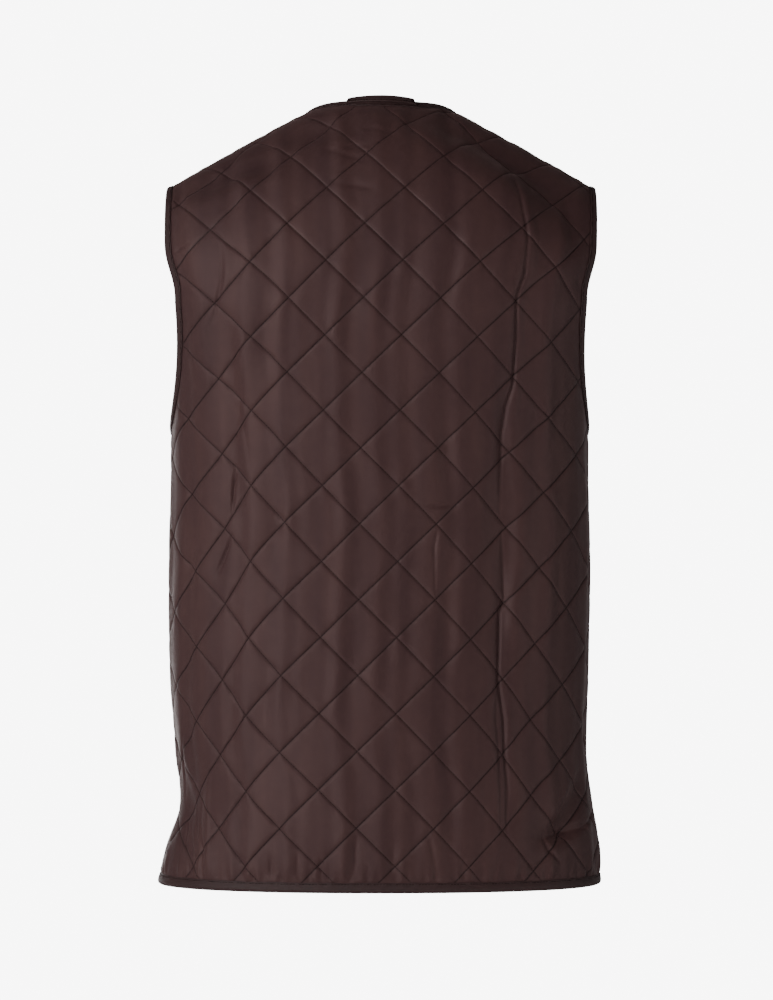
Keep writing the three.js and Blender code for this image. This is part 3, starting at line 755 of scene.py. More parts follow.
def slice_sheet(bm, edge, clear=False):
    """Cuts a flat sheet along the line where its distance from an edge is nought."""
    places = np.array([v.co[:2] for v in bm.verts])
    for vert, value in zip(bm.verts, edge(places)):
        vert.co.z = value
    bmesh.ops.bisect_plane(
        bm, geom=bm.verts[:] + bm.edges[:] + bm.faces[:], dist=2e-5, plane_co=(0, 0, 0),
        plane_no=(0, 0, 1), clear_inner=clear,
    )
    for vert in bm.verts:
        vert.co.z = 0


def moved_edge(edge, inwards):
    """An edge moved into the panel by some distance."""
    return lambda places: edge(places) - inwards


def flat_sheet(panel, tuck):
    """A flat quilted sheet, cut to a panel's outline."""
    quilting, outline = panel.quilting, panel.outline
    sizes = quilting.sizes
    count = 2 * SQUARES_REACH
    bm = bmesh.new()
    bmesh.ops.create_grid(bm, x_segments=count, y_segments=count, size=SQUARES_REACH)
    centres = np.array([face.calc_center_median()[:2] for face in bm.faces])
    far = outline.depth(quilting.places(centres)) < -0.8 * sizes.square
    faces = [face for face, out in zip(bm.faces, far) if out]
    bmesh.ops.delete(bm, geom=faces, context="FACES")
    bmesh.ops.subdivide_edges(bm, edges=bm.edges[:], cuts=sizes.cuts, use_grid_fill=True)
    squares = np.array([v.co[:2] for v in bm.verts])
    whole = np.floor(squares + 1e-4)
    part = np.clip(squares - whole, 0, 1)
    half = np.minimum(part, 1 - part) * 2
    eased = 0.5 * half**CROWDING
    part = np.where(part > 0.5, 1 - eased, eased)
    for vert, place in zip(bm.verts, quilting.places(whole + part)):
        vert.co = (place[0], place[1], 0)
    for edge in outline.sewn:
        slice_sheet(bm, edge, clear=True)
    for edge in outline.bound:
        slice_sheet(bm, moved_edge(edge, tuck), clear=True)
    for edges, rows in ((outline.sewn, SEAM_ROWS), (outline.bound, BINDING_ROWS)):
        for edge in edges:
            for inwards in rows:
                slice_sheet(bm, moved_edge(edge, inwards))
    for longest, reach, hem in REFINEMENTS:
        refine(bm, panel.face, longest, reach, hem)
    bmesh.ops.triangulate(bm, faces=[face for face in bm.faces if len(face.verts) > 4])
    return bm


def refine(bm, face, longest, reach, hem):
    """Halves the edges that lie near a crease or the puckered hem, where they are long."""
    ends = np.array([[v.co[:2] for v in edge.verts] for edge in bm.edges])
    middle = ends.mean(axis=1)
    long = np.linalg.norm(ends[:, 0] - ends[:, 1], axis=1) > longest
    spots = middle * 1000
    near = middle[:, 1] < hem
    for _, half, path in CREASES[face]:
        distance, _ = path_reach(spots, path)
        near |= distance < reach + half
    edges = [edge for edge, wanted in zip(bm.edges, long & near) if wanted]
    bmesh.ops.subdivide_edges(bm, edges=edges, cuts=1, use_grid_fill=True)


def outer_height(panel, places):
    """How far out the outer layer stands from the wall's inner face."""
    sizes, seed = panel.quilting.sizes, panel.seed
    full, sewn, bound = panel.near_edges(places)
    girth, rise = places[:, 0], places[:, 1]
    seam = panel.form.ridge_rise(panel.face, girth) - rise
    taut = mix(TAUT_SHARE, 1, smooth(seam, *TAUT_REACH))
    out = sizes.wall + sizes.puff * taut * full * panel.quilting.fullness(places)
    wave = sizes.ripple * taut * ripples(places, seed)
    out += wave * smooth(bound, *RIPPLE_BOUND) * smooth(sewn, *RIPPLE_SEWN)
    gathers = drift(girth, seed + 7, [(0.0093, 0.5), (0.0137, 0.6), (0.0211, 0.5)])
    out += HEM_PUCKER * gathers * np.exp(-np.abs(rise - 0.014) / 0.011) * smooth(rise, 0.0085, 0.012)
    tugs = drift(girth, seed + 9, [(0.0113, 0.5), (0.0171, 0.6), (0.0278, 0.5)])
    out += SHOULDER_PUCKER * tugs * smooth(seam, 0.0005, 0.003) * np.exp(-np.maximum(seam, 0) / 0.010)
    out -= crease_depth(panel.face, places) * smooth(bound, 0.009, 0.020)
    out -= SEAM_DIP * np.exp(-sewn / 0.0016)
    return mix(np.minimum(out, UNDER_BINDING), out, smooth(bound, *BINDING_RIM))


def inner_height(panel, places):
    """How far out the inner layer stands: a little inwards of the wall in each square."""
    full, _, _ = panel.near_edges(places)
    return LINING_LEVEL - panel.quilting.sizes.lining_puff * full * panel.quilting.fullness(places)


def finished(name, bm, material, node=None):
    """Turns a bmesh into a piece that rides on the body."""
    mesh = bpy.data.meshes.new(name)
    bm.to_mesh(mesh)
    bm.free()
    mesh.materials.append(material)
    mesh.polygons.foreach_set("use_smooth", [True] * len(mesh.polygons))
    piece = bpy.data.objects.new(name, mesh)
    bpy.context.scene.collection.objects.link(piece)
    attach(piece, BODY)
    if node:
        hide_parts(node)
    return piece


def sew_panel(form, name):
    """One quilted panel: the flat sheet with its second layer, laid on the form."""
    panel = QuiltedPanel(form, name)
    bm = flat_sheet(panel, bpy.context.scene.vest_tapes.tuck)
    area = sum(face.calc_area() for face in bm.faces)
    bmesh.ops.recalc_face_normals(bm, faces=bm.faces[:])
    bmesh.ops.solidify(bm, geom=bm.faces[:], thickness=0.001)
    bmesh.ops.recalc_face_normals(bm, faces=bm.faces[:])
    pattern = bm.loops.layers.uv.new("pattern")
    squares = bm.loops.layers.uv.new("squares")
    spots = np.array([v.co for v in bm.verts])
    places = spots[:, :2].copy()
    inside = spots[:, 2] > (spots[:, 2].max() + spots[:, 2].min()) / 2
    out = np.where(inside, inner_height(panel, places), outer_height(panel, places))
    points = form.cloth_points(panel.face, places, out)
    numbers = panel.quilting.squares(places)
    bm.verts.index_update()
    for face in bm.faces:
        for loop in face.loops:
            index = loop.vert.index
            loop[pattern].uv = places[index]
            loop[squares].uv = numbers[index]
    for vert, point in zip(bm.verts, points):
        vert.co = point
    bmesh.ops.recalc_face_normals(bm, faces=bm.faces[:])
    piece = finished("quilted_" + name, bm, quilted_cloth(), node=name)
    return piece


# Bindings. A section is a closed line of points: how far in from the edge, and how far out.

# The groove in which a binding's stitches lie: how far in from its edge, and how far below its face.
ROW_INWARDS = 0.0084
ROW_DIP = 0.0008
# The step along a tape, how far the hem's ends are drawn in under the front tapes, how flat they are
# pressed there, and the length over which the puckers of a tape die out at its ends.
TAPE_STEP = 0.003
HEM_TUCK = 0.0018
HEM_END_SHARE = 0.45
TAPE_END = 0.012
# Where on a tape's section the puckers and the wandering edge set in, and the height above which a point
# is on its outer leaf.
PUCKER_REACH = (0.002, 0.0095)
WANDER_REACH = (0.004, 0.010)
OUTER_LEAF = 0.0015


def tape_section(tapes):
    """A folded tape with the panel's edge between its two leaves."""
    leaf, low, high, width = tapes.leaf, tapes.inside, tapes.outside, tapes.width
    middle = (low + high) / 2
    outer = [(width, low + 0.0005), (0.0070, low), (0.0026, low + 0.0001), (0.0008, low + 0.0010),
             (0.0, middle), (0.0007, high - 0.0011), (0.0020, high - 0.0002), (0.0042, high),
             (0.0068, high - 0.0002), (ROW_INWARDS, high - ROW_DIP), (0.0096, high - 0.0006),
             (width, high - 0.0009)]
    inner = [(width - 0.0001, high - 0.0009 - leaf), (ROW_INWARDS, high - ROW_DIP - leaf),
             (0.0042, high - leaf), (0.0020, high - 0.0004 - leaf), (leaf + 0.0002, middle),
             (0.0026, low + leaf + 0.0001), (0.0070, low + leaf), (width - 0.0001, low + 0.0005 + leaf)]
    return outer + inner


def moved_in(form, face, line, turn, inwards):
    """A line moved in by some distances: one row of places for each point of the line."""
    before = np.concatenate([line[:1], line[:-1]])
    after = np.concatenate([line[1:], line[-1:]])
    run = after - before
    run /= np.linalg.norm(run, axis=1)[:, None]
    across = np.stack([-run[:, 1], run[:, 0]], axis=1) * turn
    places = line[:, None, :] + across[:, None, :] * inwards[:, :, None]
    ridge = form.ridge_rise(face, line[:, 0])
    for row in np.nonzero(line[:, 1] > ridge - 1e-4)[0]:
        girth = line[row, 0]
        towards = 1 if abs(girth) < form.cut.shoulder_half / 2 else -1
        moved = girth + inwards[row] * np.sign(girth) * towards
        places[row] = np.stack([moved, form.ridge_rise(face, moved)], axis=1)
    return places


def spaced(line, step):
    """A line divided again into even steps of about one length."""
    along = distances(line)
    count = max(2, int(round(along[-1] / step)))
    return points_at(line, along, np.linspace(0, along[-1], count + 1))


def tape_rings(form, face, line, turn, seed):
    """Rings of points round a binding, with the small puckers of its sewn edge."""
    tapes = bpy.context.scene.vest_tapes
    section = np.array(tape_section(tapes))
    along = distances(line)
    ends = smooth(along, 0, TAPE_END) * smooth(along[-1] - along, 0, TAPE_END)
    wave = drift(along, seed, [(0.0071, 0.6), (0.0103, 0.6), (0.0163, 0.5)]) * ends
    sewn = np.where(section[:, 1] > OUTER_LEAF, smooth(section[:, 0], *PUCKER_REACH), 0)
    wander = drift(along, seed + 3, [(0.047, 0.00025), (0.019, 0.00012)]) * ends
    inwards = section[None, :, 0] + wander[:, None] * smooth(section[:, 0], *WANDER_REACH)[None, :]
    out = section[None, :, 1] + tapes.pucker * wave[:, None] * sewn[None, :]
    places = moved_in(form, face, line, turn, np.broadcast_to(inwards, out.shape))
    points = form.cloth_points(face, places.reshape(-1, 2), out.ravel())
    return points.reshape(len(line), len(section), 3)


def swept(rings, looped):
    """A closed body through rings of points, as a loop or with flat ends."""
    count, size = len(rings), len(rings[0])
    bm = bmesh.new()
    columns = count if looped else count - 1
    bmesh.ops.create_grid(bm, x_segments=columns, y_segments=size, size=0.5)
    uv = bm.loops.layers.uv.new("pattern")
    spots = np.array([v.co[:2] for v in bm.verts]) + 0.5
    column = np.rint(spots[:, 0] * columns).astype(int)
    row = np.rint(spots[:, 1] * size).astype(int)
    along = distances(np.concatenate([rings[:, 0], rings[:1, 0]]))
    around = distances(np.concatenate([rings[0], rings[0][:1]]))
    bm.verts.index_update()
    for face in bm.faces:
        for loop in face.loops:
            index = loop.vert.index
            loop[uv].uv = (along[column[index]], around[row[index]])
    for vert, i, k in zip(bm.verts, column, row):
        vert.co = rings[i % count][k % size]
    bmesh.ops.remove_doubles(bm, verts=bm.verts[:], dist=1e-7)
    if not looped:
        rims = [edge for edge in bm.edges if edge.is_boundary]
        bmesh.ops.contextual_create(bm, geom=rims)
        caps = [face for face in bm.faces if len(face.verts) > 4]
        bmesh.ops.triangulate(bm, faces=caps)
    bmesh.ops.recalc_face_normals(bm, faces=bm.faces[:])
    return bm


def armhole_run(form, face, side):
    return spaced(armhole_line(form, face, side, 40, 60), TAPE_STEP)


def front_run(form, side):
    return spaced(front_line(form, side, 60, 80), TAPE_STEP)


def nape_run(form):
    return spaced(nape_line(form, 40), TAPE_STEP)


def hem_back_run(form):
    ends = [side * float(form.side_girth(0, "back", side)) for side in (1, -1)]
    return hem_line(*ends, 160)


def hem_front_run(form, side, start):
    """The hem of one front, from near its front edge to its side seam."""
    return hem_line(side * start, side * float(form.side_girth(0, "front", side)), 60)


def armhole_rings(form, side, seed):
    back, front = (tape_rings(form, face, armhole_run(form, face, side), side, seed) for face in FACES)
    return np.concatenate([back, front[1:-1][::-1]])


def neck_rings(form, seed):
    left = tape_rings(form, "front", front_run(form, 1), -1, seed)
    nape = tape_rings(form, "back", nape_run(form), -1, seed + 1)
    right = tape_rings(form, "front", front_run(form, -1), 1, seed + 2)
    return np.concatenate([left, nape[::-1][1:-1], right[::-1]])


def hem_rings(form, seed):
    start = form.cut.gap_hem + bpy.context.scene.vest_tapes.width - HEM_TUCK
    left = tape_rings(form, "front", hem_front_run(form, 1, start), 1, seed)
    back = tape_rings(form, "back", hem_back_run(form), -1, seed + 1)
    right = tape_rings(form, "front", hem_front_run(form, -1, start)[::-1], 1, seed + 2)
    for end in (left[0], right[-1]):
        end[:, 1] = mix(end[:, 1].mean(), end[:, 1], HEM_END_SHARE)
    return np.concatenate([left, back[1:-1], right])


def bind(name, rings, looped):
    bm = swept(rings, looped)
    piece = finished("taped_" + name, bm, binding_tape(), node=name)
    return piece


# Sewing thread. Each stitch is a short open curve with closed ends: where its points lie along the
# stitch's pitch, and how far they stand out from the cloth.
STITCH_SPOTS = (-0.40, -0.22, 0.22, 0.40)
STITCH_LIFT = (-0.00025, 0.0001, 0.0001, -0.00025)
# Step in squares along a quilted line, and the edges of the cloth within which it is looked for.
LINE_STEP = 0.02
LINE_GIRTH = 0.335
LINE_RISE = 0.92
# How far the quilting stitches end from a seam and from a bound edge.
SEAM_CLEAR = 0.0015
BOUND_CLEAR = 0.0112
# How much further in than the front edge the hem's row of stitches starts.
HEM_ROW_START = 0.0104


def thread_piece(name, stitches, half):
    """One piece from many stitches, each a few points."""
    curve = bpy.data.curves.new(name, "CURVE")
    curve.dimensions = "3D"
    curve.bevel_depth = half
    curve.bevel_resolution = 0
    curve.use_fill_caps = True
    curve.resolution_u = 1
    for points in stitches:
        spline = curve.splines.new("POLY")
        spline.points.add(len(points) - 1)
        flat = np.concatenate([points, np.ones((len(points), 1))], axis=1)
        spline.points.foreach_set("co", flat.ravel())
    holder = bpy.data.objects.new(name + "_line", curve)
    bpy.context.scene.collection.objects.link(holder)
    bpy.context.view_layer.update()
    mesh = bpy.data.meshes.new_from_object(holder)
    bpy.data.objects.remove(holder)
    bpy.data.curves.remove(curve)
    bm = bmesh.new()
    bm.from_mesh(mesh)
    bpy.data.meshes.remove(mesh)
    bmesh.ops.recalc_face_normals(bm, faces=bm.faces[:])
    return finished(name, bm, sewing_thread())


def stitches_along(form, face, line, heights, pitch):
    """Stitches along a line of places: dips at both ends and a crown between them."""
    along = distances(line)
    count = int(along[-1] / pitch)
    if count < 1:
        return []
    starts = (np.arange(count) + 0.5) * along[-1] / count
    offsets = np.array(STITCH_SPOTS) * pitch
    at = (starts[:, None] + offsets).ravel()
    places = points_at(line, along, at)
    points = form.cloth_points(face, places, heights(places) + np.tile(STITCH_LIFT, count))
    return list(points.reshape(count, len(STITCH_LIFT), 3))


def quilting_stitches(form, name):
    """Stitches along both families of a panel's lines, where they lie on its open cloth."""
    panel = QuiltedPanel(form, name)
    outline, pitch = panel.outline, panel.quilting.sizes.stitch

    def heights(places):
        return outer_height(panel, places)

    steps = np.arange(-SQUARES_REACH, SQUARES_REACH + 0.001, LINE_STEP)
    found = []
    for family in (0, 1):
        for number in range(-SQUARES_REACH, SQUARES_REACH + 1):
            squares = np.full((len(steps), 2), float(number))
            squares[:, 1 - family] = steps
            line = panel.quilting.places(squares)
            near = (np.abs(line[:, 0]) < LINE_GIRTH) & (line[:, 1] > 0) & (line[:, 1] < LINE_RISE)
            inside = near.copy()
            clear = outline.sewn_depth(line[near]) > SEAM_CLEAR
            inside[near] = clear & (outline.bound_depth(line[near]) > BOUND_CLEAR)
            runs = np.split(np.arange(len(line)), np.nonzero(np.diff(inside))[0] + 1)
            for run in runs:
                if inside[run[0]] and len(run) > 3:
                    found += stitches_along(form, panel.face, line[run], heights, pitch)
    return found


def level(out):
    """Heights for stitches that all lie equally far out."""
    return lambda places: np.full(len(places), out)


def edge_stitches(form, face, line, turn):
    """Stitches along a binding's sewn edge."""
    sizes, tapes = bpy.context.scene.vest_quilting, bpy.context.scene.vest_tapes
    inwards = np.full((len(line), 1), ROW_INWARDS)
    places = moved_in(form, face, line, turn, inwards)[:, 0]
    return stitches_along(form, face, places, level(tapes.outside - ROW_DIP), sizes.stitch)


# The hanger loop: how far out its underside lies, how much further out its upper edge leans in the
# middle, the steps of the nape line under it, and its section as shares of its height and thickness.
LOOP_BASE = 0.0048
LOOP_LEAN = 0.0008
LOOP_STEPS = 60
LOOP_SECTION = np.array([
    (0.0, 0.25), (0.0, 0.75), (0.06, 1.0), (0.25, 0.92), (0.5, 0.86), (0.75, 0.92),
    (0.94, 1.0), (1.0, 0.75), (1.0, 0.25), (0.94, 0.0), (0.5, 0.08), (0.06, 0.0),
])


def loop_line(form):
    """The nape line under the hanger loop, its bow, and how far the upper edge lies in from that line."""
    tapes, steps = bpy.context.scene.vest_tapes, LOOP_STEPS
    reach = math.asin(tapes.loop_length / 2 / form.cut.neck_half) / QUARTER_TURN
    half = int(round(steps * reach))
    line = nape_line(form, steps)[steps - half:steps + half + 1]
    bow = np.sin(math.pi * np.linspace(0, 1, len(line)))
    return line, bow, 0.0006 - tapes.loop_proud * np.sqrt(bow)


def loop_stitches(form):
    """A row along the loop's lower edge, and a few across it at each end. The lower row is real sewing,
    and its dark thread also serves as painted shade along the loop's lower edge.
    """
    sizes, tapes = bpy.context.scene.vest_quilting, bpy.context.scene.vest_tapes
    line, _, upper = loop_line(form)
    heights = level(LOOP_BASE + tapes.loop_thickness + 0.0001)
    lower = moved_in(form, "back", line, -1, (upper + tapes.loop_height - 0.0011)[:, None])[:, 0]
    found = stitches_along(form, "back", lower, heights, 0.8 * sizes.stitch)
    for at in (1, 2, len(line) - 3, len(line) - 2):
        across = upper[at] + np.linspace(0.001, tapes.loop_height - 0.001, 9)
        ends = moved_in(form, "back", line[at - 1:at + 2], -1, np.tile(across, (3, 1)))[1]
        found += stitches_along(form, "back", ends, heights, 0.6 * sizes.stitch)
    return found


# Materials.

def node_group(name, inputs, outputs, fill):
    """A shader node group with named sockets, made once."""
    if name in bpy.data.node_groups:
        return bpy.data.node_groups[name]
    tree = bpy.data.node_groups.new(name, "ShaderNodeTree")
    for label, kind, value in inputs:
        socket = tree.interface.new_socket(name=label, in_out="INPUT", socket_type=kind)
        if value is not None:
            socket.default_value = value
    for label, kind in outputs:
        tree.interface.new_socket(name=label, in_out="OUTPUT", socket_type=kind)
    fill(tree, tree.nodes.new("NodeGroupInput"), tree.nodes.new("NodeGroupOutput"))
    return tree


def preset(node, values):
    """Sets a node's inputs, by name or number."""
    for label, value in values.items():
        node.inputs[label].default_value = value


def add(tree, kind, links=(), inputs=None, **values):
    """A node with its values and inputs set, and links from (output, input name or number)."""
    made = tree.nodes.new(kind)
    for key, value in values.items():
        setattr(made, key, value)
    preset(made, inputs or {})
    for source, target in links:
        tree.links.new(source, made.inputs[target])
    return made


def maths(tree, operation, first, second=0.0, third=None):
    made = tree.nodes.new("ShaderNodeMath")
    made.operation = operation
    for socket, value in zip(made.inputs, (first, second, third)):
        if value is None:
            continue
        if isinstance(value, (int, float)):
            socket.default_value = value
        else:
            tree.links.new(value, socket)
    return made.outputs[0]


def weave_group():
    """Plain weave on a pattern in metres: the height of its threads."""
    def fill(tree, inside, outside):
        split = add(tree, "ShaderNodeSeparateXYZ", [(inside.outputs["Pattern"], 0)])
        bands = []
        for axis, other in ((0, 1), (1, 0)):
            at = maths(tree, "MULTIPLY", split.outputs[axis], inside.outputs["Threads per metre"])
            wave = maths(tree, "ABSOLUTE", maths(tree, "SINE", maths(tree, "MULTIPLY", at, math.pi)))
            cross = maths(tree, "MULTIPLY", split.outputs[other], inside.outputs["Threads per metre"])
            over = maths(tree, "FLOOR", cross)
            step = maths(tree, "ADD", at, over)
            turn = maths(tree, "SINE", maths(tree, "MULTIPLY", step, math.pi))
            bands.append(maths(tree, "MULTIPLY_ADD", turn, 0.5, maths(tree, "MULTIPLY", wave, 0.5)))
        height = maths(tree, "MAXIMUM", bands[0], bands[1])
        tree.links.new(height, outside.inputs["Height"])
    return node_group(
        "vest_weave",
        [("Pattern", "NodeSocketVector", None), ("Threads per metre", "NodeSocketFloat", 2200.0)],
        [("Height", "NodeSocketFloat")], fill,
    )


def mottle_group():
    """Soft uneven patches, from 0 to 1, at two sizes."""
    def fill(tree, inside, outside):
        place, scale = inside.outputs["Place"], inside.outputs["Scale"]
        broad = add(tree, "ShaderNodeTexNoise", [(place, "Vector"), (scale, "Scale")], {"Detail": 3.0})
        fine_scale = maths(tree, "MULTIPLY", scale, 9.0)
        fine_links = [(place, "Vector"), (fine_scale, "Scale")]
        fine = add(tree, "ShaderNodeTexNoise", fine_links, {"Detail": 2.0})
        fine_share = maths(tree, "MULTIPLY", fine.outputs["Fac"], 0.3)
        total = maths(tree, "MULTIPLY_ADD", broad.outputs["Fac"], 0.7, fine_share)
        ramp = add(tree, "ShaderNodeMapRange", [(total, 0)], {"From Min": 0.35, "From Max": 0.65})
        tree.links.new(ramp.outputs[0], outside.inputs["Mask"])
    return node_group(
        "vest_mottle",
        [("Place", "NodeSocketVector", None), ("Scale", "NodeSocketFloat", 14.0)],
        [("Mask", "NodeSocketFloat")], fill,
    )


# The base of the powers by which stitch lines and puckers fade.
NATURAL = 2.718


def stitch_group():
    """The quilting's lines, from 1 on a line to 0 away from it, as a mask for their dark thread and
    painted groove shade, and the small puckers across them.
    """
    def fill(tree, inside, outside):
        split = add(tree, "ShaderNodeSeparateXYZ", [(inside.outputs["Squares"], 0)])
        lines, puckers = [], []
        for axis, other in ((0, 1), (1, 0)):
            part = maths(tree, "FRACT", maths(tree, "ADD", split.outputs[axis], 0.5))
            near = maths(tree, "ABSOLUTE", maths(tree, "SUBTRACT", part, 0.5))
            reach = maths(tree, "DIVIDE", near, inside.outputs["Width"])
            fall = maths(tree, "MULTIPLY", maths(tree, "POWER", reach, 2.0), -1.0)
            lines.append(maths(tree, "POWER", NATURAL, fall))
            fade = maths(tree, "POWER", NATURAL, maths(tree, "DIVIDE", near, -0.07))
            away = maths(tree, "MULTIPLY", split.outputs[axis], 3.0)
            run = maths(tree, "MULTIPLY", split.outputs[other], 9.0)
            spot = add(tree, "ShaderNodeCombineXYZ", [(away, 0), (run, 1)], {2: 3.7 * axis})
            noise = add(
                tree, "ShaderNodeTexNoise", [(spot.outputs[0], "Vector")], {"Scale": 1.0, "Detail": 1.5})
            puckers.append(maths(tree, "MULTIPLY", fade, noise.outputs["Fac"]))
        # The second family carries only a share of the lines' painted shade, as the light falls across it
        # less.
        lines[1] = maths(tree, "MULTIPLY", lines[1], inside.outputs["Second"])
        tree.links.new(maths(tree, "MAXIMUM", *lines), outside.inputs["Line"])
        tree.links.new(maths(tree, "ADD", *puckers), outside.inputs["Puckers"])
    return node_group(
        "vest_stitch_lines",
        [("Squares", "NodeSocketVector", None), ("Width", "NodeSocketFloat", 0.022),
         ("Second", "NodeSocketFloat", 1.0)],
        [("Line", "NodeSocketFloat"), ("Puckers", "NodeSocketFloat")], fill,
    )


def new_material(name):
    material = bpy.data.materials.new(name)
    material.use_nodes = True
    tree = material.node_tree
    tree.nodes.clear()
    shader = tree.nodes.new("ShaderNodeBsdfPrincipled")
    output = tree.nodes.new("ShaderNodeOutputMaterial")
    tree.links.new(shader.outputs[0], output.inputs["Surface"])
    return material, tree, shader


def placed(tree, group, links, inputs):
    return add(tree, "ShaderNodeGroup", links, inputs, node_tree=group)


def blended(tree, share, low, high):
    made = tree.nodes.new("ShaderNodeMix")
    made.data_type = "RGBA"
    for socket, value in ((made.inputs[0], share), (made.inputs[6], low), (made.inputs[7], high)):
        if isinstance(value, bpy.types.NodeSocket):
            tree.links.new(value, socket)
        else:
            socket.default_value = value
    return made.outputs[2]


def bumped(tree, height, distance, strength, before=None):
    links = [(height, "Height")] + ([(before, "Normal")] if before is not None else [])
    made = add(tree, "ShaderNodeBump", links, {"Strength": strength, "Distance": distance})
    return made.outputs[0]


def paint(values, share=1.0):
    """A colour with its alpha, darker or lighter by a share."""
    return (*(value * share for value in values), 1.0)


def quilted_cloth():
    """Smooth dark nylon with a fine weave and a soft sheen. Its stitch lines are darkened in colour, for
    the dark thread and for painted shade in their grooves, and it has upright streaks of painted sheen.
    """
    if "vest_quilted_cloth" in bpy.data.materials:
        return bpy.data.materials["vest_quilted_cloth"]
    colours = bpy.context.scene.vest_colours
    material, tree, shader = new_material("vest_quilted_cloth")
    pattern = add(tree, "ShaderNodeUVMap", uv_map="pattern").outputs[0]
    squares = add(tree, "ShaderNodeUVMap", uv_map="squares").outputs[0]
    weave = placed(tree, weave_group(), [(pattern, "Pattern")], {"Threads per metre": 2000.0})
    mottle = placed(tree, mottle_group(), [(pattern, "Place")], {"Scale": 9.0})
    # The stitch lines' mask: the first family carries the full painted shade and the second family a
    # lesser share of it.
    stitches = placed(tree, stitch_group(), [(squares, "Squares")], {"Width": 0.0165, "Second": 0.58})
    # Upright streaks of painted sheen: lighter and darker bands that stand in for the light caught by the
    # cloth's soft ripples.
    upright = add(
        tree, "ShaderNodeVectorMath", [(pattern, 0)], {1: (1.0, 0.11, 1.0)}, operation="MULTIPLY")
    streaks = add(
        tree, "ShaderNodeTexNoise", [(upright.outputs[0], "Vector")], {"Scale": 46.0, "Detail": 2.0})
    painted_sheen_streaks = maths(tree, "MULTIPLY_ADD", streaks.outputs["Fac"], 1.6, -0.52)
    # The cloth's own random mottling and the painted sheen streaks together blend it towards its lighter
    # colour, and set its roughness.
    mottle_and_sheen = maths(tree, "MULTIPLY_ADD", mottle.outputs["Mask"], 0.45, painted_sheen_streaks)
    mottle_and_sheen = maths(tree, "MINIMUM", maths(tree, "MAXIMUM", mottle_and_sheen, 0.0), 1.0)
    base = blended(tree, mottle_and_sheen, paint(colours.cloth), paint(colours.cloth_mottle_and_sheen))
    place = add(tree, "ShaderNodeTexCoord").outputs["Object"]
    height = add(tree, "ShaderNodeSeparateXYZ", [(place, 0)]).outputs[2]
    # The painted shade of the stitch lines fades towards the top, where the light falls differently on
    # the shoulders.
    line_shade_fainter_up = {"From Min": -0.14, "From Max": -0.03, "To Min": 0.95, "To Max": 0.45}
    faint = add(tree, "ShaderNodeMapRange", [(height, 0)], line_shade_fainter_up)
    share = maths(tree, "MULTIPLY", stitches.outputs["Line"], faint.outputs[0])
    # The colour of the stitch lines: the dark of the thread together with painted shade of the grooves
    # that they run in.
    dark = paint(colours.cloth, 0.33)
    tree.links.new(blended(tree, share, base, dark), shader.inputs["Base Color"])
    rough = maths(tree, "MULTIPLY_ADD", mottle_and_sheen, -0.05, 0.56)
    tree.links.new(rough, shader.inputs["Roughness"])
    preset(shader, {
        "Specular IOR Level": 0.24,
        "Specular Tint": (1.0, 0.78, 0.76, 1.0),
        "Sheen Weight": 0.12,
        "Sheen Roughness": 0.45,
        "Sheen Tint": (0.9, 0.6, 0.58, 1.0),
    })
    puckers = bumped(tree, stitches.outputs["Puckers"], 0.0012, 0.4)
    wrinkle = add(tree, "ShaderNodeTexNoise", [(pattern, "Vector")], {"Scale": 70.0, "Detail": 2.0})
    creased = bumped(tree, wrinkle.outputs["Fac"], 0.0010, 0.22, puckers)
    tree.links.new(bumped(tree, weave.outputs["Height"], 0.00005, 0.5, creased), shader.inputs["Normal"])
    return material


def tape_material(name, ribs, rough):
    """Close-woven tape, with its ribs for each metre and its roughness."""
    if name in bpy.data.materials:
        return bpy.data.materials[name]
    colours = bpy.context.scene.vest_colours
    material, tree, shader = new_material(name)
    pattern = add(tree, "ShaderNodeUVMap", uv_map="pattern").outputs[0]
    weave = placed(tree, weave_group(), [(pattern, "Pattern")], {"Threads per metre": ribs})
    mottle = placed(tree, mottle_group(), [(pattern, "Place")], {"Scale": 40.0})
    mask = mottle.outputs["Mask"]
    base = blended(tree, mask, paint(colours.tape), paint(colours.tape, 1.25))
    tree.links.new(base, shader.inputs["Base Color"])
    tree.links.new(maths(tree, "MULTIPLY_ADD", mask, 0.1, rough), shader.inputs["Roughness"])
    preset(shader, {
        "Specular IOR Level": 0.3,
        "Sheen Weight": 0.08,
        "Sheen Roughness": 0.5,
        "Sheen Tint": (0.9, 0.7, 0.7, 1.0),
    })
    creased = bumped(tree, mask, 0.0005, 0.4)
    tree.links.new(bumped(tree, weave.outputs["Height"], 0.00008, 0.6, creased), shader.inputs["Normal"])
    return material


def binding_tape():
    return tape_material("vest_binding_tape", 1600.0, 0.55)


def loop_tape():
    return tape_material("vest_loop_tape", 1300.0, 0.60)


def sewing_thread():
    """Dark polyester thread with a fine twist."""
    if "vest_sewing_thread" in bpy.data.materials:
        return bpy.data.materials["vest_sewing_thread"]
    colours = bpy.context.scene.vest_colours
    material, tree, shader = new_material("vest_sewing_thread")
    place = add(tree, "ShaderNodeTexCoord").outputs["Object"]
    twist = add(tree, "ShaderNodeTexWave", [(place, "Vector")], {"Scale": 900.0})
    base = blended(tree, twist.outputs["Fac"], paint(colours.thread), paint(colours.thread, 1.6))
    tree.links.new(base, shader.inputs["Base Color"])
    preset(shader, {"Roughness": 0.7, "Specular IOR Level": 0.12})
    tree.links.new(bumped(tree, twist.outputs["Fac"], 0.0001, 0.5), shader.inputs["Normal"])
    return material


# The floor: its brightness as a share of the backdrop's, its level and half its width.
FLOOR_GLOW = 0.8
FLOOR_LEVEL = -1.66
FLOOR_HALF = 4.5
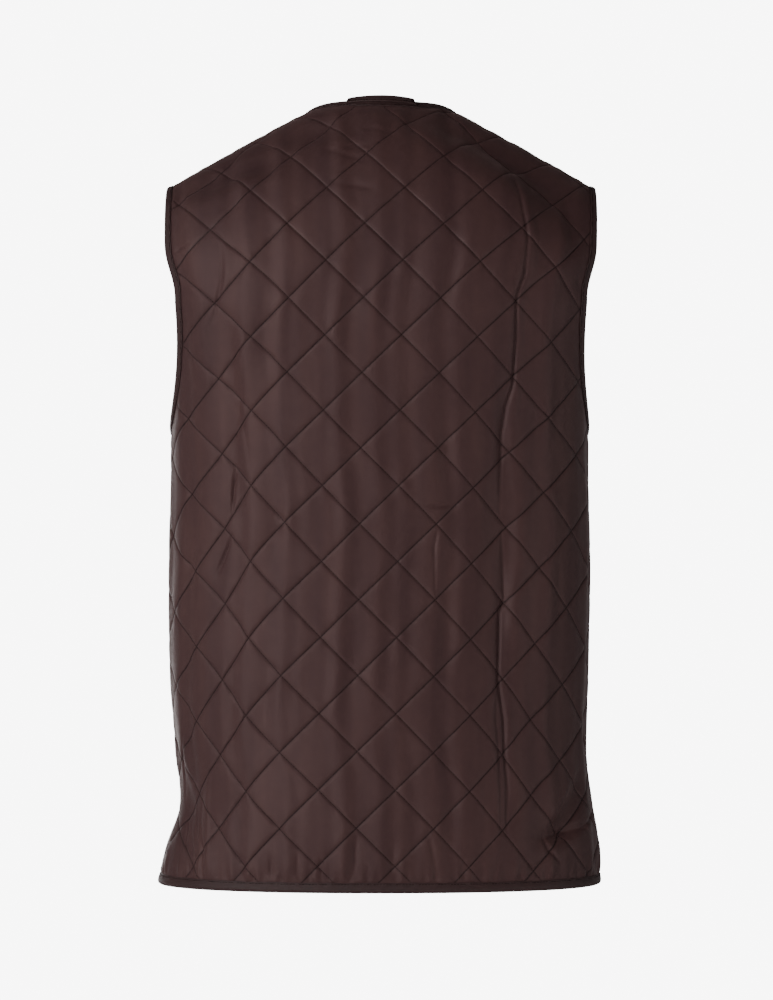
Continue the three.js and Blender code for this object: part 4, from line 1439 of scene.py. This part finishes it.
# The lights: place, width and the setting that holds the power, all aimed at one point.
LIGHTS = {
    "key_light": ((2.5, 3.3, 0.25), 1.9, "key"),
    "fill_light": ((-3.3, 1.9, -1.3), 1.8, "fill"),
    "shoulder_light": ((2.6, 0.7, 1.7), 1.2, "shoulder"),
    "top_light": ((0.4, 0.2, 2.6), 2.2, "top"),
    "front_light": ((1.0, -3.7, -0.5), 2.4, "front"),
}
LIGHT_TARGET = (0, 0.05, -0.36)


def floor_paint():
    """A pale floor that lights the vest softly, and is seen nearly as pale as the backdrop."""
    colours, stage = bpy.context.scene.vest_colours, bpy.context.scene.vest_stage
    material, tree, shader = new_material("stage_floor")
    place = add(tree, "ShaderNodeTexCoord").outputs["Object"]
    mottle = placed(tree, mottle_group(), [(place, "Place")], {"Scale": 0.8})
    base = blended(tree, mottle.outputs["Mask"], paint(colours.floor, 0.985), paint(colours.floor))
    tree.links.new(base, shader.inputs["Base Color"])
    preset(shader, {"Roughness": 0.8})
    glow = {"Color": paint(colours.backdrop), "Strength": FLOOR_GLOW * stage.white}
    pale = add(tree, "ShaderNodeEmission", (), glow)
    seen = add(tree, "ShaderNodeMixShader", [
        (add(tree, "ShaderNodeLightPath").outputs["Is Camera Ray"], 0), (shader.outputs[0], 1),
        (pale.outputs[0], 2),
    ])
    output = next(node for node in tree.nodes if node.type == "OUTPUT_MATERIAL")
    tree.links.new(seen.outputs[0], output.inputs["Surface"])
    return material


# Operators, one for each piece or group of like pieces. The form is worked out once for them all.

FORM_KEPT = {}


def vest_form():
    if "form" not in FORM_KEPT:
        FORM_KEPT["form"] = Form(bpy.context.scene.vest_cut)
    return FORM_KEPT["form"]


class VEST_OT_back(Operator):
    """Make the quilted back panel"""

    bl_idname = "vest.back"
    bl_label = "Back panel"

    def execute(self, context):
        form = vest_form()
        sew_panel(form, "back_panel")
        return {"FINISHED"}


class VEST_OT_fronts(Operator):
    """Make the two quilted front panels"""

    bl_idname = "vest.fronts"
    bl_label = "Front panels"

    def execute(self, context):
        form = vest_form()
        sew_panel(form, "front_left_panel")
        sew_panel(form, "front_right_panel")
        return {"FINISHED"}


class VEST_OT_bindings(Operator):
    """Make the folded tapes round the neck and fronts, the armholes and the hem"""

    bl_idname = "vest.bindings"
    bl_label = "Bindings"

    def execute(self, context):
        form = vest_form()
        bind("neck_and_front_binding", neck_rings(form, 41), False)
        bind("armhole_binding_left", armhole_rings(form, 1, 47), True)
        bind("armhole_binding_right", armhole_rings(form, -1, 53), True)
        bind("hem_binding", hem_rings(form, 59), False)
        return {"FINISHED"}


class VEST_OT_loop(Operator):
    """Make the hanger loop over the back neck"""

    bl_idname = "vest.loop"
    bl_label = "Hanger loop"

    def execute(self, context):
        form = vest_form()
        tapes = context.scene.vest_tapes
        line, bow, upper = loop_line(form)
        down, across = LOOP_SECTION[None, :, 0], LOOP_SECTION[None, :, 1]
        inwards = upper[:, None] + tapes.loop_height * down
        out = mix(LOOP_BASE, LOOP_BASE + tapes.loop_thickness, across)
        out = out + LOOP_LEAN * bow[:, None] * (1 - down)
        places = moved_in(form, "back", line, -1, inwards)
        points = form.cloth_points("back", places.reshape(-1, 2), out.ravel())
        rings = points.reshape(len(line), len(LOOP_SECTION), 3)
        piece = finished("neck_loop", swept(rings, False), loop_tape(), node="hanger_loop")
        return {"FINISHED"}


class VEST_OT_sewing(Operator):
    """Sew the quilting, the bindings and the ends of the hanger loop"""

    bl_idname = "vest.sewing"
    bl_label = "Sewing"

    def execute(self, context):
        form = vest_form()
        sizes, tapes = context.scene.vest_quilting, context.scene.vest_tapes
        for name in PANELS:
            thread_piece(name + "_quilting_thread", quilting_stitches(form, name), sizes.thread)
        found = []
        for side in (1, -1):
            for face in FACES:
                found += edge_stitches(form, face, armhole_run(form, face, side), side)
            found += edge_stitches(form, "front", front_run(form, side), -side)
        found += edge_stitches(form, "back", nape_run(form), -1)
        start = form.cut.gap_hem + HEM_ROW_START
        for side in (1, -1):
            found += edge_stitches(form, "front", hem_front_run(form, side, start), side)
        found += edge_stitches(form, "back", hem_back_run(form), -1)
        found += loop_stitches(form)
        thread_piece("binding_thread", found, tapes.thread)
        return {"FINISHED"}


def aimed(piece, target):
    direction = Vector(target) - piece.location
    piece.rotation_mode = "QUATERNION"
    piece.rotation_quaternion = direction.to_track_quat("-Z", "Y")


def lay_floor(scene):
    bm = bmesh.new()
    bmesh.ops.create_grid(bm, x_segments=1, y_segments=1, size=FLOOR_HALF)
    bmesh.ops.translate(bm, verts=bm.verts, vec=(0, 0, FLOOR_LEVEL))
    mesh = bpy.data.meshes.new("floor")
    bm.to_mesh(mesh)
    bm.free()
    mesh.materials.append(floor_paint())
    floor = bpy.data.objects.new("floor", mesh)
    scene.collection.objects.link(floor)


def hang_lights(scene):
    for name, (place, size, setting) in LIGHTS.items():
        lamp = bpy.data.lights.new(name, "AREA")
        lamp.shape = "SQUARE"
        lamp.size = size
        lamp.energy = getattr(scene.vest_stage, setting)
        holder = bpy.data.objects.new(name, lamp)
        holder.location = place
        scene.collection.objects.link(holder)
        aimed(holder, LIGHT_TARGET)


def pale_room(scene):
    """A white backdrop for the camera, and a soft light from all round that fades above and below."""
    stage = scene.vest_stage
    world = bpy.data.worlds.new("pale_room")
    world.use_nodes = True
    tree = world.node_tree
    tree.nodes.clear()
    pale = paint(scene.vest_colours.backdrop)
    seen = add(tree, "ShaderNodeBackground", (), {"Color": pale, "Strength": stage.white})
    direction = add(tree, "ShaderNodeTexCoord").outputs["Generated"]
    towards = add(tree, "ShaderNodeSeparateXYZ", [(direction, 0)])
    slope = maths(tree, "ABSOLUTE", maths(tree, "ADD", towards.outputs[2], 0.12))
    fading = {"From Min": 0.1, "From Max": 0.50, "To Min": stage.around, "To Max": 0.04 * stage.around}
    dimmed = add(tree, "ShaderNodeMapRange", [(slope, 0)], fading)
    lit = add(tree, "ShaderNodeBackground", [(dimmed.outputs[0], "Strength")], {"Color": pale})
    rays = add(tree, "ShaderNodeLightPath")
    either = add(tree, "ShaderNodeMixShader", [
        (rays.outputs["Is Camera Ray"], 0), (lit.outputs[0], 1), (seen.outputs[0], 2),
    ])
    add(tree, "ShaderNodeOutputWorld", [(either.outputs[0], 0)])
    scene.world = world


def set_camera(scene):
    stage = scene.vest_stage
    camera = bpy.data.cameras.new("camera")
    camera.sensor_width = 36.0
    camera.lens = stage.lens
    camera.clip_end = 60.0
    holder = bpy.data.objects.new("camera", camera)
    holder.location = (stage.aside, stage.distance, stage.height)
    holder.rotation_euler = (QUARTER_TURN, 0, math.pi)
    scene.collection.objects.link(holder)
    scene.camera = holder


class VEST_OT_stage(Operator):
    """Set up the floor, the soft light and the camera"""

    bl_idname = "vest.stage"
    bl_label = "Stage"

    def execute(self, context):
        for step in (lay_floor, hang_lights, pale_room, set_camera):
            step(context.scene)
        return {"FINISHED"}


class VEST_PT_vest(Panel):
    """Steps and sizes of the vest"""

    bl_idname = "VEST_PT_vest"
    bl_label = "Quilted Vest"
    bl_space_type = "VIEW_3D"
    bl_region_type = "UI"
    bl_category = "Vest"

    def draw(self, context):
        for operator in OPERATORS:
            self.layout.operator(operator.bl_idname)
        for name in SETTINGS:
            group = getattr(context.scene, name)
            for prop in group.bl_rna.properties:
                if prop.identifier not in {"rna_type", "name"}:
                    self.layout.prop(group, prop.identifier)


SETTINGS = {
    "vest_cut": VestCut,
    "vest_quilting": VestQuilting,
    "vest_tapes": VestTapes,
    "vest_colours": VestColours,
    "vest_stage": VestStage,
}
OPERATORS = (VEST_OT_back, VEST_OT_fronts, VEST_OT_bindings, VEST_OT_loop, VEST_OT_sewing, VEST_OT_stage)


def register():
    for group in SETTINGS.values():
        bpy.utils.register_class(group)
    for name, group in SETTINGS.items():
        setattr(bpy.types.Scene, name, PointerProperty(type=group))
    for made in (*OPERATORS, VEST_PT_vest):
        bpy.utils.register_class(made)


def unregister():
    for made in (VEST_PT_vest, *reversed(OPERATORS)):
        bpy.utils.unregister_class(made)
    for name in SETTINGS:
        delattr(bpy.types.Scene, name)
    for group in SETTINGS.values():
        bpy.utils.unregister_class(group)


def main():
    register()
    for operator in OPERATORS:
        group, name = operator.bl_idname.split(".")
        getattr(getattr(bpy.ops, group), name)()


if __name__ == "__main__":
    main()
